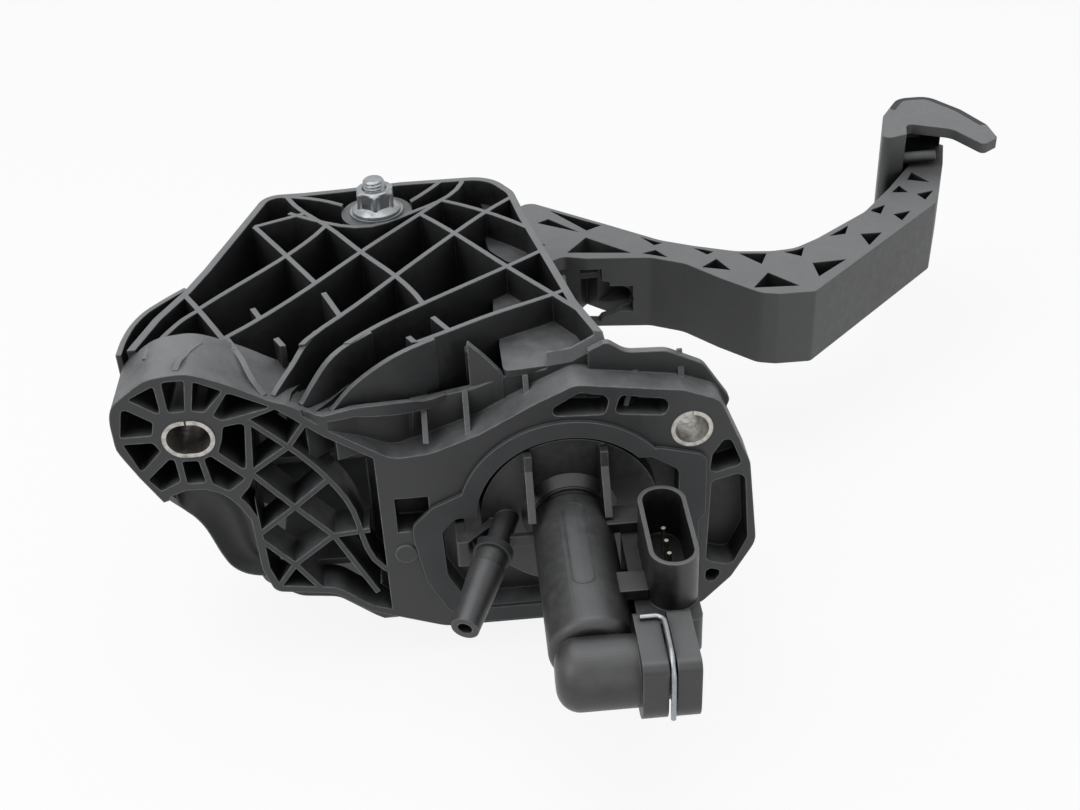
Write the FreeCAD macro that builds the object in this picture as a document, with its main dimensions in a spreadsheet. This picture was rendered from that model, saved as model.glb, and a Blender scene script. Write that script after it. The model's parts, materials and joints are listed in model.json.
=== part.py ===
# Clutch pedal assembly: ribbed plastic bracket, ribbed pedal arm and master cylinder.
# Frame: origin where the cylinder's axis meets the bulkhead face, +X down the bulkhead
# towards the foot pad, +Y towards the driver, +Z along the pivot bolt. Millimetres.

import FreeCAD, Part
import math
import os
import Sketcher
from FreeCAD import Placement, Rotation, Vector

doc = FreeCAD.newDocument("clutch_pedal")
sheet = doc.addObject("Spreadsheet::Sheet", "Sizes")

SIZES = (
    ("cheek_half", 60, "rib edges of a cheek above the pedal's middle plane"),
    ("web_inner", 20, "inner face of a cheek's web above the middle plane"),
    ("web_wall", 2.5, "thickness of webs and floors"),
    ("rib_wall", 1.8, "thickness of the lattice ribs"),
    ("rim_wall", 2.6, "thickness of the outer rims"),
    ("shelf_drop", 12, "depth of the raised web along the lower border"),
    ("flange_depth", 12, "depth of the bulkhead flange"),
    ("fan_depth", 24, "depth of the pockets round the upper fixing"),
    ("pocket_floor", 2, "floor behind the flange's pockets"),
    ("opening_radius", 31, "hole in the flange for the cylinder"),
    ("opening_floor", 4, "ledge behind the cylinder flange"),
    ("barrel_gap", 0.5, "gap round the rear barrel"),
    ("pivot_x", -59, "pivot bolt along X"),
    ("pivot_y", 113, "pivot bolt along Y"),
    ("boss_radius", 13, "pivot boss on each cheek"),
    ("boss_sink", 2, "boss face below the rib edges"),
    ("head_recess", 9, "depth of the recess for the bolt's head"),
    ("bolt_diameter", 8, "pivot bolt"),
    ("bolt_clearance", 0.1, "radial gap round the bolt"),
    ("bolt_point", 3.5, "bolt's end beyond the nut"),
    ("hex_flats", 13, "across flats of bolt head and nut"),
    ("head_height", 8, "bolt head with its flange"),
    ("nut_height", 9, "nut with its flange"),
    ("hex_flange_radius", 8.9, "flange of bolt head and nut"),
    ("hex_flange_height", 2, "thickness of that flange"),
    ("washer_radius", 9.8, "washer under the nut"),
    ("washer_wall", 1, "thickness of the washer"),
    ("tube_radius", 7, "pivot tube, outside"),
    ("bush_clearance", 0.05, "radial running gap of bush on tube"),
    ("bush_wall", 2, "bush wall"),
    ("bush_flange_radius", 12, "bush flange"),
    ("bush_length", 13, "bush length inside the hub"),
    ("side_gap", 0.3, "gap between bush flange and web"),
    ("arm_half", 16, "pedal arm above its middle plane"),
    ("arm_rim", 1.8, "wall between the arm's pockets and its edge"),
    ("arm_web", 2.5, "web in the middle of the arm's pockets"),
    ("hub_radius", 21, "pedal hub"),
    ("recess_half", 12, "half height of the recess for the push rod"),
    ("foot_half", 33, "foot shell above the arm's middle plane"),
    ("foot_wall", 3.2, "foot shell wall"),
    ("pad_wall", 3, "rubber tread thickness"),
    ("upper_fix_x", -118, "upper fixing sleeve along X"),
    ("upper_fix_z", 41, "upper fixing sleeve along Z"),
    ("upper_fix_stretch", 2.8, "extra length of the oval sleeve"),
    ("lower_fix_x", 40, "lower fixing sleeve along X"),
    ("lower_fix_z", 30, "lower fixing sleeve along Z"),
    ("sleeve_radius", 6.8, "fixing sleeve, outside"),
    ("sleeve_wall", 1.4, "fixing sleeve wall"),
    ("sleeve_proud", 0.4, "sleeve's end in front of the bulkhead face"),
    ("sleeve_length", 20, "fixing sleeve length"),
    ("sleeve_slit", 0.6, "slit of the rolled sleeve"),
    ("gasket_wall", 1.5, "gasket thickness"),
    ("body_radius", 13, "cylinder body, outside"),
    ("body_end", 68, "end of the straight body in front of the face"),
    ("flange_radius", 29.5, "cylinder flange"),
    ("flange_wall", 4, "cylinder flange thickness"),
    ("barrel_radius", 17, "rear barrel, outside"),
    ("barrel_end", 46, "rear barrel's end behind the face"),
    ("bore_radius", 9.5, "cylinder bore"),
    ("bore_end", 62, "front end of the bore"),
    ("outlet_y", -75, "outlet axis along Y"),
    ("outlet_radius", 10.6, "outlet tube, outside"),
    ("outlet_bore", 5, "outlet bore radius"),
    ("collar_half", 12.3, "half width of the outlet collar"),
    ("collar_start", 12, "outlet collar along X"),
    ("collar_wall", 7.4, "outlet collar thickness"),
    ("clip_groove", 2.4, "slot between the two collars"),
    ("clip_wire", 1.6, "wire of the line clip"),
    ("neck_radius", 9, "neck of the socket in that slot"),
    ("socket_length", 7, "stepped collar of the line socket"),
    ("line_bore", 3.5, "bore of the line socket"),
    ("spigot_radius", 5, "spigot of the line socket"),
    ("port_radius", 6.4, "port that the spigot goes into"),
    ("port_start", 7, "bottom of that port along X"),
    ("piston_radius", 9.45, "piston"),
    ("piston_front", -14, "piston's front face at rest"),
    ("piston_length", 58, "piston length"),
    ("rod_radius", 3.5, "push rod"),
    ("ball_radius", 5, "push rod's ball"),
    ("ball_gap", 2.2, "gap round the ball, left for the opened linkage"),
    ("ball_y", 128, "ball centre at rest along Y"),
    ("seal_seat", 12.5, "radius of the seal seats in the barrel"),
    ("seal_start", 11, "front of the seal seats along Y"),
    ("seal_length", 5, "length of a seal"),
    ("seal_set", 6, "depth of the rear seal inside the guide"),
    ("gallery", 12, "length of the feed gallery round the guide"),
    ("seal_gap", 0.05, "gap of seals and guide round the piston"),
    ("magnet_set", 6, "magnet behind the piston's front"),
    ("magnet_length", 5, "magnet length"),
    ("magnet_wall", 2, "magnet thickness"),
    ("magnet_inset", 0.05, "magnet below the piston's surface"),
    ("rod_seat", 12, "push rod's depth in the piston"),
    ("spring_wire", 1.2, "return spring wire"),
    ("nipple_tip", 4.5, "nipple tip radius"),
    ("nipple_root", 5.8, "nipple root radius"),
    ("nipple_bore", 2.3, "nipple bore radius"),
    ("nipple_length", 24, "cone of the nipple"),
    ("feed_radius", 4, "feed tube, outside"),
    ("shroud_width", 15, "plug shroud across"),
    ("shroud_length", 38, "plug shroud along Y"),
    ("shroud_top", 22, "plug shroud's rim along Z"),
    ("shroud_wall", 1.4, "plug shroud wall"),
    ("sensor_gap", 0.3, "gap between sensor and cylinder body"),
    ("pin_size", 0.7, "sensor contact pin radius"),
    ("stop_gap", 0.3, "gap between pedal and rest buffer"),
)

for row, (alias, value, meaning) in enumerate(SIZES, 1):
    sheet.set("A%d" % row, meaning)
    sheet.set("B%d" % row, str(value))
    sheet.setAlias("B%d" % row, alias)
doc.recompute()


def size(alias):
    return float(sheet.get(alias))


PIECES = []


def keep(piece):
    """List a finished piece for checking and export."""
    PIECES.append(piece)
    return piece


def feature(label, shape):
    """A piece whose form is worked out from the sheet by the functions below."""
    piece = doc.addObject("Part::Feature", label)
    piece.Label = label
    piece.Shape = shape
    return keep(piece)


# Outlines and solids

def outline(corners):
    """Closed wire through (x, y, radius) corners, each rounded by a tangent arc."""
    edges = []
    count = len(corners)
    starts = []
    ends = []
    middles = []
    for i, (x, y, radius) in enumerate(corners):
        corner = Vector(x, y, 0)
        before = Vector(*corners[i - 1][:2], 0) - corner
        after = Vector(*corners[(i + 1) % count][:2], 0) - corner
        half = before.getAngle(after) / 2
        if radius <= 0 or half > math.radians(89.5):
            starts.append(corner)
            ends.append(corner)
            middles.append(None)
            continue
        reach = radius / math.tan(half)
        before.normalize()
        after.normalize()
        inward = (before + after).normalize()
        starts.append(corner + before * reach)
        ends.append(corner + after * reach)
        middles.append(corner + inward * (radius / math.sin(half) - radius))
    for i in range(count):
        if middles[i] is not None:
            edges.append(Part.Arc(starts[i], middles[i], ends[i]).toShape())
        following = starts[(i + 1) % count]
        if ends[i].distanceToPoint(following) > 1e-6:
            edges.append(Part.LineSegment(ends[i], following).toShape())
    return Part.Wire(Part.__sortEdges__(edges))


def plate(corners, low, high):
    """Rounded outline in the XY plane, standing from low to high."""
    face = Part.Face(outline(corners))
    face.translate(Vector(0, 0, low))
    return face.extrude(Vector(0, 0, high - low))


def smooth(points, per_span=3):
    """Points along a smooth curve through the given (x, y) points."""
    if len(points) < 3:
        return [Vector(x, y, 0) for x, y in points]
    curve = Part.BSplineCurve()
    curve.interpolate([Vector(x, y, 0) for x, y in points])
    return curve.discretize(Number=per_span * (len(points) - 1) + 1)


def rib(points, wall):
    """Face of a rib seen from above: a strip of even width along a smooth line."""
    line = smooth(points)
    left = []
    right = []
    for i, point in enumerate(line):
        ahead = line[min(i + 1, len(line) - 1)] - line[max(i - 1, 0)]
        across = Vector(-ahead.y, ahead.x, 0).normalize() * (wall / 2)
        left.append(point + across)
        right.append(point - across)
    return Part.Face(Part.makePolygon(left + right[::-1] + [left[0]]))


def join(shapes):
    """One shape from many, one after the other."""
    whole = shapes[0]
    for shape in shapes[1:]:
        whole = whole.fuse(shape)
    return whole


def fuse(shapes):
    """One shape from many, without seams between flush faces."""
    return join(shapes).removeSplitter()


def facing_front(shape, depth=0):
    """Turn a shape drawn as (x, z) and standing up to face the bulkhead, depth behind it."""
    turned_shape = shape.copy()
    turned_shape.rotate(Vector(0, 0, 0), Vector(1, 0, 0), 90)
    turned_shape.translate(Vector(0, depth, 0))
    return turned_shape


def block(x_low, x_high, y_low, y_high, z_low, z_high):
    return Part.makeBox(
        x_high - x_low, y_high - y_low, z_high - z_low, Vector(x_low, y_low, z_low)
    )


def rod(radius, start, direction, length):
    return Part.makeCylinder(radius, length, start, direction)


def one_solid(shape, label):
    """The single solid of a shape that is meant to be in one piece."""
    if len(shape.Solids) != 1:
        raise ValueError("%s: expected one solid, found %d" % (label, len(shape.Solids)))
    return shape.Solids[0]


# Turned pieces: a fully dimensioned sketch revolved about its upright axis

def dimension(sketch, line, text, axis):
    """Tie the start of a line to an expression along one axis."""
    name = "DistanceX" if axis == "x" else "DistanceY"
    if text == "0":
        sketch.addConstraint(Sketcher.Constraint("PointOnObject", line, 1, -2 if axis == "x" else -1))
        return
    place = sketch.Geometry[line].StartPoint
    value = place.x if axis == "x" else place.y
    index = sketch.addConstraint(Sketcher.Constraint(name, -1, 1, line, 1, value))
    sketch.setExpression("Constraints[%d]" % index, text)


def evaluate(text):
    return float(sheet.evalExpression(text.replace("Sizes.", "")))


def draw(body, plane, points):
    """Closed sketch on an origin plane of the body, each corner bound to the sheet."""
    sketch = body.newObject("Sketcher::SketchObject", body.Name + "_sketch")
    base = [f for f in body.Origin.OriginFeatures if f.Role == plane][0]
    sketch.AttachmentSupport = [(base, "")]
    sketch.MapMode = "FlatFace"
    places = [Vector(evaluate(across), evaluate(along), 0) for across, along in points]
    count = len(places)
    for i in range(count):
        sketch.addGeometry(Part.LineSegment(places[i], places[(i + 1) % count]))
    for i in range(count):
        sketch.addConstraint(Sketcher.Constraint("Coincident", i, 2, (i + 1) % count, 1))
    for i, (across, along) in enumerate(points):
        dimension(sketch, i, across, "x")
        dimension(sketch, i, along, "y")
    return sketch


def stand(body, place, direction):
    """Put a body's own Z axis along a direction at a place bound to the sheet."""
    body.Placement = Placement(Vector(0, 0, 0), Rotation(Vector(0, 0, 1), direction))
    for axis, text in zip("xyz", place):
        body.setExpression("Placement.Base." + axis, text)


def turned(label, profile, place, direction=Vector(0, 0, 1)):
    """A turned piece: profile is (radius, height) pairs of expressions."""
    body = doc.addObject("PartDesign::Body", label)
    body.Label = label
    sketch = draw(body, "XZ_Plane", profile)
    turn = body.newObject("PartDesign::Revolution", label + "_turn")
    turn.Profile = sketch
    turn.ReferenceAxis = (sketch, ["V_Axis"])
    turn.Angle = 360
    sketch.Visibility = False
    stand(body, place, direction)
    return keep(body)


def ring_profile(inner, outer, low, high):
    return [(inner, low), (outer, low), (outer, high), (inner, high)]


def hexagon(label, low, height):
    """Hexagon of the bolt's spanner size, standing on the pivot axis."""
    prism = doc.addObject("Part::Prism", label)
    prism.Polygon = 6
    prism.setExpression("Circumradius", "Sizes.hex_flats / sqrt(3)")
    prism.setExpression("Height", height)
    on_pivot(prism, low)
    return prism


def on_pivot(thing, low):
    thing.setExpression("Placement.Base.x", "Sizes.pivot_x")
    thing.setExpression("Placement.Base.y", "Sizes.pivot_y")
    thing.setExpression("Placement.Base.z", low)


def drum(label, radius, low, height):
    """Cylinder on the pivot axis."""
    cylinder = doc.addObject("Part::Cylinder", label)
    cylinder.setExpression("Radius", radius)
    cylinder.setExpression("Height", height)
    on_pivot(cylinder, low)
    return cylinder


# Places along the pivot, shared by the bracket, the bolt and what it carries

HALF = size("cheek_half")
WEB_IN = size("web_inner")
WEB_OUT = WEB_IN + size("web_wall")
SHELF = HALF - size("shelf_drop")
PIVOT = Vector(size("pivot_x"), size("pivot_y"), 0)
NUT_SIDE = "(Sizes.cheek_half - Sizes.boss_sink)"
HEAD_SIDE = "(Sizes.cheek_half - Sizes.head_recess)"
SHANK_RADIUS = "Sizes.bolt_diameter / 2"
HOLE_RADIUS = "(Sizes.bolt_diameter / 2 + Sizes.bolt_clearance)"
BUSH_INSIDE = "(Sizes.tube_radius + Sizes.bush_clearance)"
BUSH_OUTSIDE = "(Sizes.tube_radius + Sizes.bush_clearance + Sizes.bush_wall)"


def pivot_stack():
    """Flange bolt, washer and nut that clamp the two cheeks on the spacer tube."""
    head = hexagon("bolt_hexagon", "-%s - Sizes.head_height" % HEAD_SIDE, "Sizes.head_height")
    head_flange = drum(
        "bolt_flange", "Sizes.hex_flange_radius",
        "-%s - Sizes.hex_flange_height" % HEAD_SIDE, "Sizes.hex_flange_height",
    )
    shank = drum(
        "bolt_shank", SHANK_RADIUS, "-" + HEAD_SIDE,
        "%s + %s + Sizes.washer_wall + Sizes.nut_height + Sizes.bolt_point" % (HEAD_SIDE, NUT_SIDE),
    )
    bolt = doc.addObject("Part::MultiFuse", "pivot_bolt")
    bolt.Label = "pivot_bolt"
    bolt.Shapes = [head, head_flange, shank]
    keep(bolt)
    washer_top = NUT_SIDE + " + Sizes.washer_wall"
    turned(
        "pivot_washer",
        ring_profile(HOLE_RADIUS, "Sizes.washer_radius", "0", "Sizes.washer_wall"),
        ("Sizes.pivot_x", "Sizes.pivot_y", NUT_SIDE),
    )
    nut_hexagon = hexagon("nut_hexagon", washer_top, "Sizes.nut_height")
    nut_flange = drum(
        "nut_flange", "Sizes.hex_flange_radius", washer_top, "Sizes.hex_flange_height"
    )
    nut_blank = doc.addObject("Part::MultiFuse", "nut_blank")
    nut_blank.Shapes = [nut_hexagon, nut_flange]
    nut_hole = drum("nut_hole", SHANK_RADIUS, washer_top, "Sizes.nut_height")
    nut = doc.addObject("Part::Cut", "pivot_nut")
    nut.Label = "pivot_nut"
    nut.Base = nut_blank
    nut.Tool = nut_hole
    keep(nut)
    turned(
        "pivot_tube",
        ring_profile(HOLE_RADIUS, "Sizes.tube_radius", "-Sizes.web_inner", "Sizes.web_inner"),
        ("Sizes.pivot_x", "Sizes.pivot_y", "0"),
    )


def pivot_bushes():
    """Two flanged bushes, one from each side of the hub."""
    profile = [
        (BUSH_INSIDE, "Sizes.arm_half - Sizes.bush_length"),
        (BUSH_OUTSIDE, "Sizes.arm_half - Sizes.bush_length"),
        (BUSH_OUTSIDE, "Sizes.arm_half"),
        ("Sizes.bush_flange_radius", "Sizes.arm_half"),
        ("Sizes.bush_flange_radius", "Sizes.web_inner - Sizes.side_gap"),
        (BUSH_INSIDE, "Sizes.web_inner - Sizes.side_gap"),
    ]
    place = ("Sizes.pivot_x", "Sizes.pivot_y", "0")
    turned("upper_pivot_bush", profile, place)
    turned("lower_pivot_bush", profile, place, Vector(0, 0, -1))


# Bracket: outlines of a cheek seen along the pivot, as (x, y, corner radius)

UPPER_CHEEK = [
    (-139, 0, 0), (-137, 24, 20), (-131, 43, 20), (-123, 60, 20), (-118, 74, 25),
    (-107, 109.5, 20), (-101, 129, 8), (-86, 129, 12), (-71, 130, 20), (-50, 132.5, 20),
    (-16, 132.5, 14), (-8, 118, 12), (-5, 98, 20), (7, 35, 20), (14, 12, 0), (-43, 12, 12),
    (-66, 5, 12), (-75, 0, 0),
]
LOWER_CHEEK = [
    (-118, 74, 25), (-107, 109.5, 20), (-101, 129, 8), (-86, 129, 12), (-71, 130, 20),
    (-50, 132.5, 20), (-16, 132.5, 14), (-8, 118, 12), (-5, 98, 20), (7, 35, 20), (14, 12, 0),
    (-30, 12, 12), (-55, 14, 10), (-70, 24, 10), (-84, 36, 10), (-98, 38, 10), (-112, 48, 10),
    (-120, 66, 6),
]
SHELF_OUTLINE = [(-20, 140, 0), (-20, 52, 18), (4, 30, 0), (20, 30, 0), (20, 140, 0)]

# Ribs of a cheek: long ones first, then the crossing ones, stubs and those round the boss

LONG_RIBS = [
    [(-103, 104), (-85, 112)],
    [(-117, 47), (-104, 63), (-90, 80), (-77, 101)],
    [(-107, 27), (-79, 59), (-64, 79), (-43, 105), (-35, 115)],
    [(-87, 0), (-78, 26), (-70, 36), (-52, 60), (-31, 88), (-19, 103), (-4, 118)],
    [(-81, 0), (-77, 6), (-68, 18), (-43, 40), (-14, 61), (4, 75)],
    [(-76, 0), (-61, 8), (-35, 22), (-21, 30), (0, 40), (10, 46)],
]
CROSS_RIBS = [
    [(-126, 63), (-117, 47), (-107, 27), (-93, 0)],
    [(-103, 104), (-90, 80), (-79, 59)],
    [(-94, 132), (-85, 112), (-77, 101), (-64, 79), (-52, 60), (-43, 40)],
    [(-43, 105), (-31, 88), (-14, 61), (0, 40), (9, 26)],
    [(-35, 115), (-19, 103), (0, 82)],
]
STUB_RIBS = [
    [(-76, 52), (-70, 36)],
    [(-40, 31), (-35, 22)],
    [(-30, 20), (-19, 12)],
    [(-99, 45), (-96, 38)],
    [(-90, 25), (-84, 13)],
    [(-48, 20), (-43, 11)],
]
BOSS_RIBS = [
    [(-91, 113), (-77, 103), (-62, 98), (-47, 106), (-35, 115), (-26, 134)],
    [(-94, 127), (-78, 121), (-69, 114)],
    [(-48, 114), (-42, 121), (-33, 134)],
]

# Slope of the rib edges towards the bulkhead: along X, where it starts in Y, height and rise

SLOPE = [
    (-100, 0, 66, 1.5), (-84, 0, 56, 4), (-75, 0, 46, 8), (-62, 6, 44, 8), (-50, 12, 40, 8),
    (-38, 12, 41.8, 3), (-30, 12, 43, 1.5), (-13, 12, 49, 1.5), (3, 12, 51, 1.5),
    (14, 12, 57, 1.5), (24, 12, 62, 1.5),
]
LOWER_SLOPE_START = 12
LOWER_SLOPE_RISE = 1.2

# Hose nipple and the feed tube behind it, which runs on into the barrel

NIPPLE_TIP = Vector(-37, -43, -8)
NIPPLE_WAY = Vector(0.32, 0.87, 0.14).normalize()
SLEEVE_END = 30
RING_END = 33
TUBE_START = 22

# Bulkhead face, as (x, z, corner radius)

FACE = [
    (-141, 64.5, 22), (-90, 53, 10), (-75, 40, 12), (-56, 27, 10), (-44, 28, 12), (-28, 34, 20),
    (-10, 44, 20), (3, 50, 8), (37, 45, 6), (48.9, 40.2, 6), (59.6, 14.6, 8), (63, -19, 10), (55, -34, 6),
    (44, -46, 8), (-44, -46, 15), (-70, -36, 20), (-80, -27, 8), (-100, -24, 4), (-103, -14, 5),
    (-104, 24, 8), (-126, 20, 3), (-130, 17, 3), (-141, 36, 4),
]
FAN_BACK = [(-150, -5, 0), (-150, 24, 0), (-95, 24, 6), (-75, 19, 6), (-62, 12, 0), (-62, -5, 0)]
FAN_EDGE_X = -62
FACE_NODES = {
    "a": (-101, 26), "b": (-88, 35), "c": (-89, 11), "d": (-78, -2), "e": (-103, 0),
    "f": (-92, -13), "g": (-99, 46), "k": (-77, 21),
}
FACE_RIBS = ["ga", "ab", "gb", "ac", "ck", "cd", "ce", "ef", "fd"]
FACE_SPOKES = [
    (-139, 41), (-134, 56), (-124, 63), (-114, 64), (-104, 59), (-90, 52), (-136, 27),
    (-123, 20), (-113, 21), (-99, 46), (-101, 26),
]
FACE_STRUTS = [
    [(-101, 26), (-108, 20)], [(-88, 35), (-80, 46)], [(-92, -13), (-100, -24)],
    [(-92, -13), (-83, -27)], [(-78, -2), (-66, -1)], [(-78, -2), (-66, -28)],
    [(-88, 35), (-77, 21), (-71, 9), (-65, -15), (-58, -21)],
]
FACE_POCKETS = [
    [(-9, 39, 2), (4, 47, 3), (14, 45, 3), (12, 38, 2)],
    [(17, 45, 2), (33, 42, 3), (32, 38, 2), (31, 36, 2), (15, 38, 2)],
    [(52, 27, 2), (57, 14, 2), (46, 11, 2), (47, 19, 2)],
    [(47, 8, 2), (58, 11, 3), (60, -17, 4), (55, -29, 3), (46, -26, 3)],
    [(46, -29, 2), (52, -31, 2), (46, -40.5, 2)],
]
SLOT = (-57, -46, -3, 11)
STAKE = (-55, -12)
STAKE_RADIUS = 3.6
OPENING_LOWER = [
    (-38, 2, 3), (-42.5, -3, 3), (-42, -22, 8), (-34, -38, 6), (31, -38, 6), (36, -33, 4),
    (36, 15, 4), (27, 21, 0), (0, 21, 0), (-28, 2, 0),
]
GASKET_LOWER = [
    (-45, 7, 4), (-52, 0, 4), (-52, -6, 4), (-49, -24, 10), (-43, -37, 6), (-36, -44, 5),
    (36, -44, 6), (43, -37, 5), (43, -7, 2), (45, -4, 2), (45, 20, 4), (30, 24, 4), (0, 24, 0),
    (-32, 13, 0),
]
GASKET_RADIUS = 37
UPPER_RIM = [
    (8, 30, 0), (8, 56, 0), (14, 59, 3), (20, 54.5, 8), (33, 54, 8), (45, 48, 6), (54, 34, 3),
    (52, 28, 0),
]
GUSSETS = [(-45, -45), (-31.5, -31.5), (-12, -12), (25, 15.6), (37.4, 38.3)]
TRAY_OUTLINE = [
    (-131, 20, 3), (-102, 24, 0), (-101, -22, 0), (-110, -18, 5), (-117, -8, 10), (-126, 8, 10),
]
TRAY_DEPTH = 14
NUT_ACCESS = 9.6


def flat(corners):
    return Part.Face(outline(corners))


def rise(face, low, high):
    """Stand a flat face of the XY plane from one height to another."""
    moved = face.copy()
    moved.translate(Vector(0, 0, low))
    return moved.extrude(Vector(0, 0, high - low))


def into_face(face, near, far):
    """Stand a flat face drawn as (x, z) between two depths behind the bulkhead plane."""
    return facing_front(rise(face, -far, -near))


def cheek(corners, slope, sink_radius, sink):
    """Cheek with web, rims, ribs, a raised web along its lower border and the pivot boss."""
    whole = flat(corners)
    shelf = flat(SHELF_OUTLINE)
    lines = [rib(line, size("rib_wall")) for line in LONG_RIBS + CROSS_RIBS + STUB_RIBS + BOSS_RIBS]
    boss = Part.Face(Part.Wire(Part.makeCircle(size("boss_radius"), PIVOT)))
    inside = whole.makeOffset2D(-size("rim_wall"))
    walls = whole.cut(inside.cut(lines + [boss]))
    shelf_inside = shelf.common(whole)
    step = shelf_inside.cut(shelf.makeOffset2D(-size("web_wall")))
    parts = [
        rise(whole.cut(shelf), WEB_IN, WEB_OUT),
        rise(walls.cut(shelf), WEB_IN, HALF),
        rise(walls.common(shelf), SHELF - size("web_wall"), HALF),
        rise(shelf_inside, SHELF - size("web_wall"), SHELF),
        rise(step, WEB_IN, SHELF),
    ]
    up = Vector(0, 0, 1)
    body = fuse(parts).cut(slope)
    body = body.cut(rod(sink_radius, PIVOT + up * (HALF - sink), up, sink + 1))
    hole = size("bolt_diameter") / 2 + size("bolt_clearance")
    return body.cut(rod(hole, PIVOT, up, HALF + 1))


def between_sections(sections):
    """Solid with triangular sides through polygons of equally many corners."""
    faces = []
    for before, after in zip(sections, sections[1:]):
        count = len(before)
        for i in range(count):
            k = (i + 1) % count
            for corners in ([before[i], before[k], after[k]], [before[i], after[k], after[i]]):
                faces.append(Part.Face(Part.makePolygon(corners + corners[:1])))
    for end in (sections[0], sections[-1]):
        faces.append(Part.Face(Part.makePolygon(end + end[:1])))
    return Part.Solid(Part.Shell(faces))


def upper_slope():
    """Wedge above the rib edges where they fall towards the bulkhead."""
    top = HALF + 20
    near = -10
    sections = []
    for x, start, height, rise_rate in SLOPE:
        sections.append([
            Vector(x, near, height - rise_rate * (start - near)),
            Vector(x, near, top),
            Vector(x, start + (top - height) / rise_rate, top),
        ])
    return between_sections(sections)


def lower_slope():
    """The same wedge for the mirrored cheek, straight along X."""
    top = HALF + 20
    foot = HALF - size("shelf_drop")
    corners = [
        Vector(-150, LOWER_SLOPE_START, foot),
        Vector(-150, LOWER_SLOPE_START, top),
        Vector(-150, LOWER_SLOPE_START + (top - foot) / LOWER_SLOPE_RISE, top),
    ]
    return Part.Face(Part.makePolygon(corners + corners[:1])).extrude(Vector(200, 0, 0))


def face_envelope():
    """The flange and the fan behind it, before any pocket is cut."""
    whole = flat(FACE)
    fan = into_face(whole, 0, size("fan_depth")).common(plate(FAN_BACK, -80, 80))
    return fuse([into_face(whole, 0, size("flange_depth")), fan])


def face_block():
    """Bulkhead flange with its fan of deep pockets round the upper fixing."""
    depth = size("flange_depth")
    floor = size("pocket_floor")
    whole = flat(FACE)
    block_shape = face_envelope()
    hub = Vector(size("upper_fix_x"), size("upper_fix_z"), 0)
    ribs = [rib([FACE_NODES[pair[0]], FACE_NODES[pair[1]]], size("rib_wall")) for pair in FACE_RIBS]
    ribs += [rib([(hub.x, hub.y), end], size("rib_wall")) for end in FACE_SPOKES]
    ribs += [rib(line, size("rib_wall")) for line in FACE_STRUTS]
    ring = Part.Face(Part.Wire(Part.makeCircle(size("sleeve_radius") + 4.7, hub)))
    inside = whole.makeOffset2D(-size("rim_wall"))
    edge = flat([(-150, -60, 0), (FAN_EDGE_X, -60, 0), (FAN_EDGE_X, 80, 0), (-150, 80, 0)])
    pockets = inside.common(edge).cut(ribs + [ring])
    inner_back = [(x, y - floor if y > 0 else y, radius) for x, y, radius in FAN_BACK]
    cells = into_face(pockets, -1, size("fan_depth")).common(plate(inner_back, -80, 80))
    cuts = [cells]
    for corners in FACE_POCKETS:
        cuts.append(into_face(flat(corners), -1, depth - floor))
    x_low, x_high, z_low, z_high = SLOT
    cuts.append(block(x_low, x_high, -1, depth - floor, z_low, z_high))
    opening = fuse([Part.Face(Part.Wire(Part.makeCircle(size("opening_radius")))), flat(OPENING_LOWER)])
    cuts.append(into_face(opening, -1, depth - size("opening_floor")))
    tray = into_face(flat(TRAY_OUTLINE), TRAY_DEPTH, TRAY_DEPTH + size("web_wall"))
    length = size("sleeve_length") - size("sleeve_proud")
    cuts.append(sleeve_hole(size("upper_fix_x"), size("upper_fix_z"), size("upper_fix_stretch"),
                            -1, length))
    cuts.append(sleeve_hole(size("lower_fix_x"), size("lower_fix_z"), 0, -1, 40))
    cuts.append(rod(NUT_ACCESS, Vector(hub.x, length, hub.y), Vector(0, 1, 0), 10))
    for part in cuts:
        block_shape = block_shape.cut(part)
    along = Vector(0, 1, 0)
    seat = rod(size("flange_radius"), Vector(0, size("flange_wall"), 0), along,
               depth - size("flange_wall"))
    barrel_hole = rod(size("barrel_radius") + size("barrel_gap"), Vector(0, -1, 0), along, 40)
    seat = seat.cut(barrel_hole)
    block_shape = block_shape.cut(barrel_hole)
    stake = rod(STAKE_RADIUS, Vector(STAKE[0], -0.6, STAKE[1]), Vector(0, 1, 0), 2)
    rim = into_face(flat(UPPER_RIM), depth - size("web_wall"), depth)
    lower_hole = sleeve_hole(size("lower_fix_x"), size("lower_fix_z"), 0, -1, 40)
    feed = NIPPLE_TIP + NIPPLE_WAY * TUBE_START
    notch = rod(size("feed_radius") + size("barrel_gap"), feed, NIPPLE_WAY, 80 - TUBE_START)
    pieces = [block_shape.cut(notch), tray, seat.cut(notch), stake, rim.cut(lower_hole)]
    for x_back, x_front in GUSSETS:
        pieces.append(gusset(x_back, x_front).cut(lower_hole))
    return fuse(pieces)


def gusset(x_back, x_front):
    """Small web on the flange's ledge, falling from the cheek to the bulkhead face."""
    wall = size("rib_wall") / 2
    depth = size("flange_depth")
    foot = 30
    top_back = 41 if x_back < -40 else 43 if x_back < -20 else 49 if x_back < 0 else 53
    corners = [(depth, foot), (depth, top_back), (1.5, foot + 1)]
    points = []
    for y, z in corners:
        share = 1 - y / depth
        points.append(Vector(x_back + (x_front - x_back) * share - wall, y, z))
    face = Part.Face(Part.makePolygon(points + points[:1]))
    return face.extrude(Vector(2 * wall, 0, 0))


def sleeve_hole(x, z, stretch, low, high):
    """Round or oval hole along Y that a fixing sleeve is pressed into."""
    radius = size("sleeve_radius")
    return into_face(oval(x, z, stretch, radius), low, high)


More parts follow.
